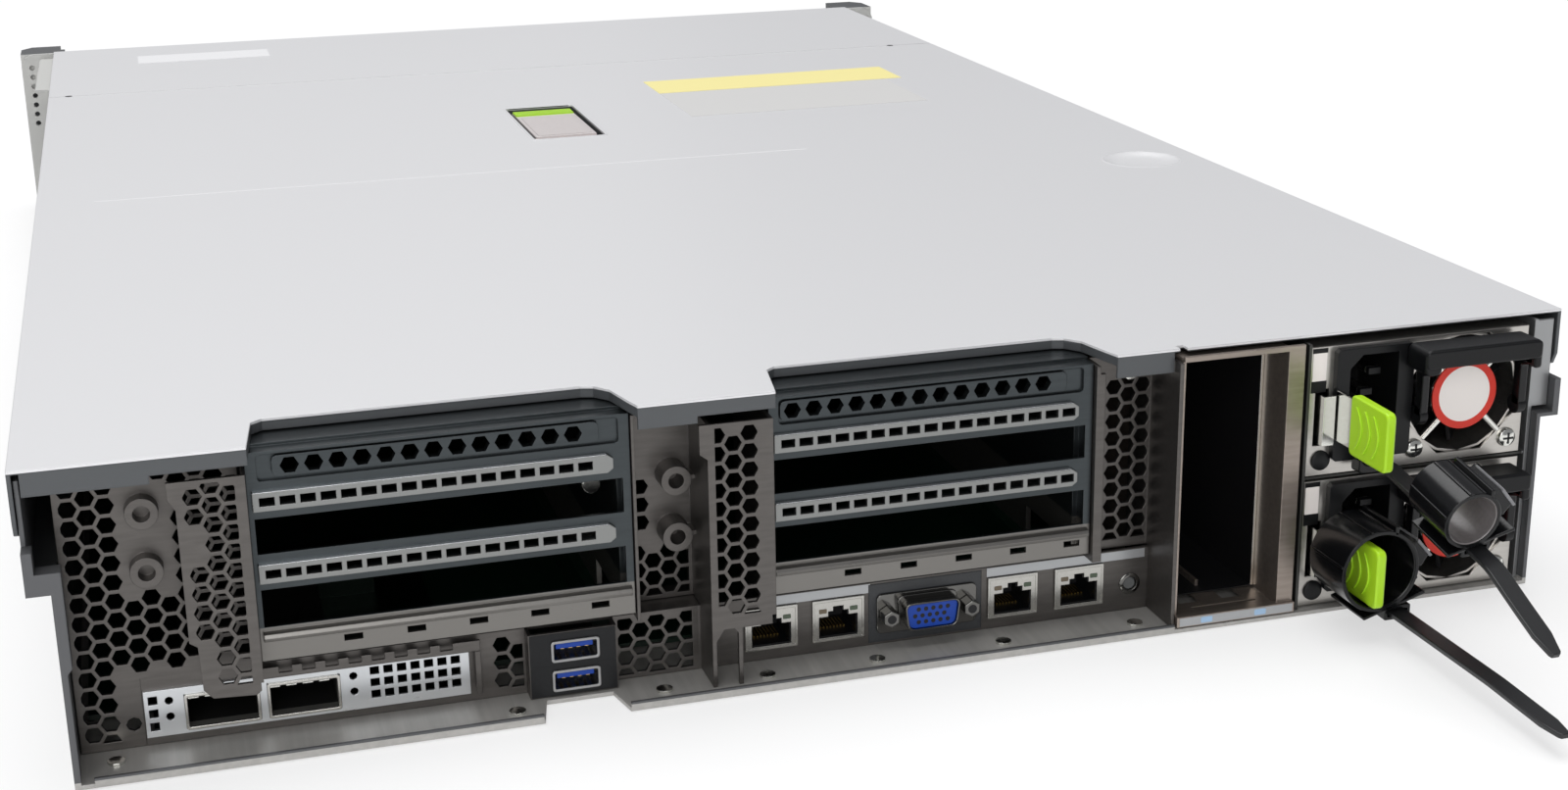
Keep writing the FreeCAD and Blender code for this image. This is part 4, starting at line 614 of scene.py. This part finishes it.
def usb_plate():
    """Dark plates round the two sockets."""
    lo, hi = span("usb_ports")
    x, y = (lo.x + hi.x) / 2, hi.y - 0.42
    for i, (low, high, z) in enumerate(((10.6, 20.4, hi.z - 2.85), (1.6, 10.6, lo.z + 2.85))):
        frame_plate("usb_plate_%d" % (i + 1), rounded(x - 11.6, x + 12.8, low, high, 0.3), usb_mouth(x, z),
                    "y", y - 0.1, y + 0.1, DARK_PLATE, "chassis", "psu_plastic")


# ---- power supplies ------------------------------------------------------------------------------
def supply(k):
    """Fan hub, guard spokes, screws, inlet pins and column patches of a supply, then what moves on it."""
    body = "psu_%d" % k
    lo, hi = span(body + "_case")
    z, x1 = lo.z, hi.x
    fan = pivot(body + "_fan_spin")
    face = span(body + "_screws")[0].y
    turned(body + "_hub_ring", [(10.95, face + 0.2), (10.95, face + 0.75), (8.7, face + 0.75),
                                (8.7, face + 0.3)], (fan.x, 0, fan.z), "y", RED, body, "label_white", n=72)
    turned(body + "_hub_label", [(8.8, face + 0.3), (8.8, face + 0.72), (0, face + 0.72)], (fan.x, 0, fan.z),
           "y", CREAM, body, "label_white", n=72)
    spokes = []
    for a in (45, 135, 225, 315):
        c, s = math.cos(math.radians(a)), math.sin(math.radians(a))
        n = (-s * 0.55, c * 0.55)
        spokes.append([(fan.x + r * c + m * n[0], fan.z + r * s + m * n[1]) for r, m in
                       ((10.6, -1), (18.6, -1), (18.6, 1), (10.6, 1))])
    prism(body + "_guard_spokes", spokes, "y", face - 0.2, face + 0.45, SPRING, body, "psu_steel",
          bevel=0.15)
    turned(body + "_plug", [(3.1, face), (3.0, face + 0.7), (2.4, face + 0.95), (0, face + 0.95)],
           (x1 - 5.0, 0, z + 4.7), "y", BLACK, body, "psu_plastic", n=32)
    prism(body + "_column_patch", [box_outline(x1 - 5.4, x1 - 0.9, z + 29.6, z + 38.2)], "y", face,
          face + 0.12, CREAM, body, "label_white")
    prism(body + "_column_gap", [box_outline(x1 - 5.6, x1 - 0.7, z + 26.0, z + 29.6),
                                 box_outline(x1 - 5.6, x1 - 0.7, z + 38.2, z + 39.6)], "y", face,
          face + 0.14, BLACK, body, "psu_plastic")
    for i, x in enumerate((x1 - 36.5, x1 - 68.5)):
        up = z + 5.0
        turned("%s_screw_%d" % (body, i + 1), [(3.0, face), (3.0, face + 0.5), (2.7, face + 1.1),
                                               (1.6, face + 1.6), (0, face + 1.75)], (x, 0, up), "y", SPRING,
               body, "psu_steel", n=32)
        cross = [box_outline(x - 1.75, x + 1.75, up - 0.32, up + 0.32),
                 box_outline(x - 0.32, x + 0.32, up - 1.75, up + 1.75)]
        prism("%s_cross_%d" % (body, i + 1), cross, "y", face + 1.0, face + 1.78, DARK, body, "psu_plastic")
    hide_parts(body + "_screws")
    ilo, ihi = span(body + "_inlet")
    far = ihi.x - 20.3
    for i, (x, up) in enumerate(((far + 6.6, 16.2), (far + 6.6, 28.8), (far + 9.1, 22.5))):
        prism("%s_pin_%d" % (body, i + 1), [rounded(x - 4.1, x + 0.1, z + up - 0.1, z + up + 2.1, 0.4, 3)],
              "y", ilo.y + 4.0, face - 5.0, SPRING, body, "psu_steel", bevel=0.4)
    handle(body, z)
    tab(body)
    strap_and_clamp(k, body)


def handle(body, z):
    """Moulded bail: hood over the fan's top edge, stepped arms and round pivot eyes."""
    lo, hi = span(body + "_handle")
    p = pivot(body + "_handle_fold")
    left, right, top, y0, y1 = hi.x, lo.x, hi.z, p.y - 1.1, hi.y
    hood = [(left, z + 31.6), (left, top), (right, top), (right, z + 30.6), (right + 2.6, z + 30.6),
            (right + 2.6, top - 2.6), (left - 5.6, top - 2.6), (left - 5.6, z + 31.6)]
    bail = prism(body + "_bail", [soften(hood, 2.4, 6)], "y", y0, y1 - 0.3, BLACK, body + "_handle",
                 "psu_plastic", bevel=0.6, smooth=True)
    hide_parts(body + "_handle")
    band = soften([(left - 0.2, top - 5.8), (left - 0.2, top - 0.3), (right + 0.2, top - 0.3),
                   (right + 0.2, top - 5.8)], 1.5)
    prism(body + "_bail_band", [band], "y", y1 - 2.0, y1, BLACK, body + "_handle", "psu_plastic", bevel=0.5,
          smooth=True)
    arm = soften([(y0, p.z), (p.y + 2.6, p.z), (p.y + 2.6, z + 30.0), (y1 - 1.5, z + 31.6),
                  (y1 - 1.5, z + 34.0), (y0, z + 34.0)], 0.8)
    for i, x in enumerate((left - 5.9, right)):
        prism("%s_bail_arm_%d" % (body, i + 1), [arm], "x", x, x + 2.6, NYLON, body + "_handle",
              "psu_plastic", bevel=0.4)
        turned("%s_bail_eye_%d" % (body, i + 1), [(0, x), (2.9, x), (2.9, x + 2.6), (0, x + 2.6)],
               (0, p.y, p.z), "x", BLACK, body + "_handle", "psu_plastic", n=32)


def tab(body):
    """Lime release tab, with curved finger ribs on the open side."""
    lo, hi = span(body + "_tab")
    root = lo.y + 9.0
    arm = soften([(lo.y, lo.z + 1.6), (root + 2.0, lo.z + 1.6), (root + 2.0, hi.z - 1.6),
                  (lo.y, hi.z - 1.6)], 0.8)
    prism(body + "_tab_arm", [arm], "x", lo.x + 0.9, hi.x - 1.1, SPRING, body + "_release", "spring_steel",
          bevel=0.2)
    outline = soften([(root, lo.z + 0.2), (hi.y, lo.z + 0.4), (hi.y, hi.z - 0.2), (root, hi.z)], 2.2, 6)
    main = prism(body + "_tab_body", [outline], "x", lo.x, hi.x - 0.6, GREEN, body + "_release",
                 "green_plastic", bevel=0.55, smooth=True)
    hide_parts(body + "_tab")
    mid, half = (lo.z + hi.z) / 2, (hi.z - lo.z) / 2 - 2.8
    ribs = []
    for i in range(3):
        y = root + 3.2 + 4.6 * i
        bow = [(y + 2.6 * (1 - t * t), mid + half * t) for t in [-1 + 0.2 * j for j in range(11)]]
        ribs.append(bow + [(u + 1.3 - 0.5 * abs(v - mid) / half, v) for u, v in bow[::-1]])
    prism(body + "_tab_ribs", ribs, "x", hi.x - 0.7, hi.x - 0.2, GREEN, body + "_release", "green_plastic",
          bevel=0.3)


# path: the strap's ends and bends in Y and Z; run: the bends that the stretch under the clamp lies between;
# ring: how far its middle is in from the supply's side, its place in Y and the radius of its bore.
STRAPS = {1: {"path": ((372.8, 47.3), (385.0, 49.9), (398.0, 47.6), (441.0, 39.6), (455.0, 33.2),
                       (471.0, 26.2)), "run": (2, 3), "ring": (14.7, 424.0, 7.2)},
          2: {"path": ((372.8, 5.6), (378.0, 7.7), (402.0, 7.7), (446.0, 7.7), (478.0, 6.4)),
              "run": (1, 3), "ring": (11.1, 388.0, 11.2)}}
STRAP_HALF, STRAP_T = 2.85, 1.6
RING_T, RING_HALF, ROLL = 1.4, 9.5, math.radians(17)


def strap_line(path):
    """The path with its bends rounded."""
    points = [Vector(q) for q in path]
    out = [points[0]]
    for a, p, b in zip(points, points[1:], points[2:]):
        s, e = p + (a - p).normalized() * 2.4, p + (b - p).normalized() * 2.4
        out += [s.lerp(p, t).lerp(p.lerp(e, t), t) for t in (0, 0.25, 0.5, 0.75, 1)]
    return out + [points[-1]]


def strap_and_clamp(k, body):
    """Tie strap with a blunt tip, and the clamp ring that slides along it."""
    strap, x1 = STRAPS[k], span(body + "_case")[1].x
    lo, hi = span(body + "_strap")
    xs = (lo.x + hi.x) / 2
    line, t = strap_line(strap["path"]), STRAP_T / 2 - 0.05
    tail = line[-1] + (line[-2] - line[-1]).normalized() * 7.5
    line = line[:-1] + [tail, line[-1] + (tail - line[-1]) * 0.12, line[-1]]
    widths = [STRAP_HALF] * (len(line) - 2) + [1.7, 1.1]
    bm = bmesh.new()
    rows = []
    for i, (q, half) in enumerate(zip(line, widths)):
        d = (line[min(i + 1, len(line) - 1)] - line[max(i - 1, 0)]).normalized()
        n = Vector((-d.y, d.x))
        rows.append([bm.verts.new((xs + sx * half, (q + n * sz).x, (q + n * sz).y))
                     for sx, sz in ((-1, -t), (1, -t), (1, t), (-1, t))])
    for a, b in zip(rows, rows[1:]):
        for i in range(4):
            j = (i + 1) % 4
            bm.faces.new((a[i], a[j], b[j], b[i]))
    bm.faces.new(rows[0][::-1])
    bm.faces.new(rows[-1])
    band = finish_piece(bm, body + "_strap_band", STRAP, body, "nylon_black", bevel=0.25, smooth=True)
    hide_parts(body + "_strap")
    z0 = strap["path"][0][1]
    inlet = span(body + "_inlet")[1].y
    prism(body + "_strap_foot", [rounded(xs - 4.4, xs + 4.4, z0 - 2.2, z0 + 2.6, 0.8)],
          "y", inlet, inlet + 5.1, NYLON, body, "nylon_black", bevel=0.5)

    side, ring_y, r_in = strap["ring"]
    (ya, za), (yb, zb) = (strap["path"][i] for i in strap["run"])
    slope = math.atan2(zb - za, yb - ya)
    base = Vector((x1 - side, ring_y, za + (ring_y - ya) * math.tan(slope)))
    turn = Matrix.Translation(base) @ Matrix.Rotation(slope, 4, "X")
    cuff, half, r = body + "_clamp", RING_HALF, r_in + RING_T
    sx, w, h = xs - base.x, STRAP_HALF + 0.4, STRAP_T / 2 + 0.3
    cz = h + r + 0.7 + max(0.0, (sx + w) * math.sin(ROLL))

    def rolled(u, v):
        return (math.cos(ROLL) * u + math.sin(ROLL) * v, cz - math.sin(ROLL) * u + math.cos(ROLL) * v)
    look = {"turn": turn}
    shell = turned(cuff + "_shell", [(r_in + 0.3, -half), (r - 0.15, -half), (r, 0.15 - half),
                                     (r, half - 0.15), (r - 0.15, half), (r_in + 0.3, half),
                                     (r_in + 0.3, -half)], (0, 0, cz), "y", NYLON, cuff, "nylon_black", n=72,
                   **look)
    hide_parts(cuff)
    turned(cuff + "_lining", [(r_in + 0.35, 0.2 - half), (r_in, 0.5 - half), (r_in, half - 0.5),
                              (r_in + 0.35, half - 0.2)], (0, 0, cz), "y", (GREY_NYLON, NYLON)[k - 1], cuff,
           "nylon_black", n=72, **look)
    ridges = []
    for a in (12, 75, 104, 196):
        c, s = math.cos(math.radians(a)), math.sin(math.radians(a))
        ridges.append([(q * c - m * s, cz + q * s + m * c) for q, m in
                       ((r - 0.3, -0.45), (r + 0.4, -0.35), (r + 0.4, 0.35), (r - 0.3, 0.45))])
    prism(cuff + "_ridges", ridges, "y", 0.3 - half, half - 0.3, NYLON, cuff, "nylon_black", bevel=0.12,
          **look)
    foot = [rolled(u, v) for u, v in ((-12.2, -r - 0.3), (8.7, -r - 0.3), (8.7, -r + 0.7),
                                      (-12.2, -r + 0.7))]
    prism(cuff + "_foot", [foot], "y", -half, half, NYLON, cuff, "nylon_black", bevel=0.3, **look)
    outer, inner = rounded(sx - w - 1, sx + w + 1, -h - 1, h + 1.2, 0.5), rounded(sx - w, sx + w, -h, h, 0.2)
    frame_plate(cuff + "_runner", outer, inner, "y", 1.5 - half, half - 1.5, NYLON, cuff, "nylon_black",
                bevel=0.2, **look)
    catch = [(2.1 - r, cz + 5.0), (-0.8 - r, cz + 7.7), (-4.6 - r, cz + 2.6), (-2.4 - r, cz - 1.0),
             (0.6 - r, cz - 1.0)]
    prism(cuff + "_catch", [catch], "y", 2.0 - half, half - 2.4, NYLON, cuff, "nylon_black", bevel=0.3,
          **look)
    lever = [(-0.7 - r, cz + 7.9), (-5.6 - r, cz + 2.2), (-4.7 - r, cz + 1.8), (-0.2 - r, cz + 7.0)]
    prism(cuff + "_lever", [lever], "y", 3.0 - half, half - 2.0, LEVER_GREY, cuff, "nylon_black", bevel=0.2,
          **look)
    crest = math.sqrt(r * r - 4.6 ** 2)
    prism(cuff + "_fin", [box_outline(-5.2, -4.0, cz + crest - 0.9, cz + crest + 1.85)], "y", -half, half,
          NYLON, cuff, "nylon_black", bevel=0.2, **look)


cover_details()
network_jacks()
monitor_socket()
usb_sockets()
panel_trim()
card_flange()
usb_plate()
slot_trim()
rear_bay()
for number in (1, 2):
    supply(number)


# ---- studio --------------------------------------------------------------------------------------
# name, place and aim in metres, side of the square lamp in metres, power in watts
LAMPS = (("sheen", (0.3, -3.2, 1.9), (0, 0, 0), 2.6, 5), ("rear", (0.7, 2.4, 0.9), (0, 0.36, 0.05), 1.6, 26))
FLOOR_LIFT = 0.6
# Camera: place in metres and turns in degrees, as fitted to the photograph.
CAMERA_AT, HEADING, TILT, ROLL_ABOUT_VIEW = (0.18297, 0.92234, 0.27150), 163.5012, 72.4523, -0.8533


def studio():
    """Soft daylight, a broad lamp from above, two square lamps and the floor."""
    scene = bpy.context.scene
    scene.view_settings.view_transform = "Standard"
    world = bpy.data.worlds.new("studio")
    scene.world = world
    world.use_nodes = True
    back = world.node_tree.nodes["Background"]
    back.inputs["Color"].default_value = (0.95, 0.96, 1.0, 1)
    back.inputs["Strength"].default_value = 0.28
    mesh = bpy.data.meshes.new("floor")
    half = 30.0
    mesh.from_pydata([(-half, -half, 0), (half, -half, 0), (half, half, 0), (-half, half, 0)], [],
                     [(0, 1, 2, 3)])
    floor = bpy.data.objects.new("floor", mesh)
    floor.location.z = size_before[0].z - 0.0005
    mesh.materials.append(floor_paint())
    scene.collection.objects.link(floor)
    sun = bpy.data.lights.new("ceiling", "SUN")
    sun.energy, sun.angle = 2.6, math.radians(60)
    lamp("ceiling", sun, (0.25, -0.45, 2.0), (0, 0, 0))
    for name, at, aim, size, power in LAMPS:
        data = bpy.data.lights.new(name, "AREA")
        data.energy, data.size = power, size
        lamp(name, data, at, aim)


def floor_paint():
    """Matt white floor, lifted towards white for the camera and in reflections, with the shadow kept."""
    m = material("floor", (0.93, 0.93, 0.93), 0.0, 0.8)
    tree = m.node_tree
    ray, most, share = (tree.nodes.new(kind) for kind in ("ShaderNodeLightPath", "ShaderNodeMath",
                                                          "ShaderNodeMath"))
    glow, mix = tree.nodes.new("ShaderNodeEmission"), tree.nodes.new("ShaderNodeMixShader")
    most.operation, share.operation = "MAXIMUM", "MULTIPLY"
    share.inputs[1].default_value = FLOOR_LIFT
    tree.links.new(ray.outputs["Is Camera Ray"], most.inputs[0])
    tree.links.new(ray.outputs["Is Glossy Ray"], most.inputs[1])
    tree.links.new(most.outputs[0], share.inputs[0])
    tree.links.new(share.outputs[0], mix.inputs[0])
    tree.links.new(tree.nodes["Principled BSDF"].outputs[0], mix.inputs[1])
    tree.links.new(glow.outputs[0], mix.inputs[2])
    tree.links.new(mix.outputs[0], tree.nodes["Material Output"].inputs["Surface"])
    return m


def lamp(name, data, at, aim):
    """Puts a lamp in its place and points it at its aim."""
    light = bpy.data.objects.new(name, data)
    light.location = at
    light.rotation_euler = (Vector(at) - Vector(aim)).to_track_quat("Z", "Y").to_euler()
    bpy.context.scene.collection.objects.link(light)


def camera():
    """The photograph's view."""
    data = bpy.data.cameras.new("view")
    cam = bpy.data.objects.new("view", data)
    bpy.context.scene.collection.objects.link(cam)
    stand = Matrix.Translation(CAMERA_AT)
    for angle, axis in ((HEADING, "Z"), (TILT, "X"), (ROLL_ABOUT_VIEW, "Z")):
        stand = stand @ Matrix.Rotation(math.radians(angle), 4, axis)
    cam.matrix_world = stand
    data.sensor_width, data.lens = 36.0, 50.883
    data.shift_x, data.shift_y = -0.00678, -0.00773
    data.clip_start, data.clip_end = 0.02, 100.0
    bpy.context.scene.camera = cam


studio()
camera()
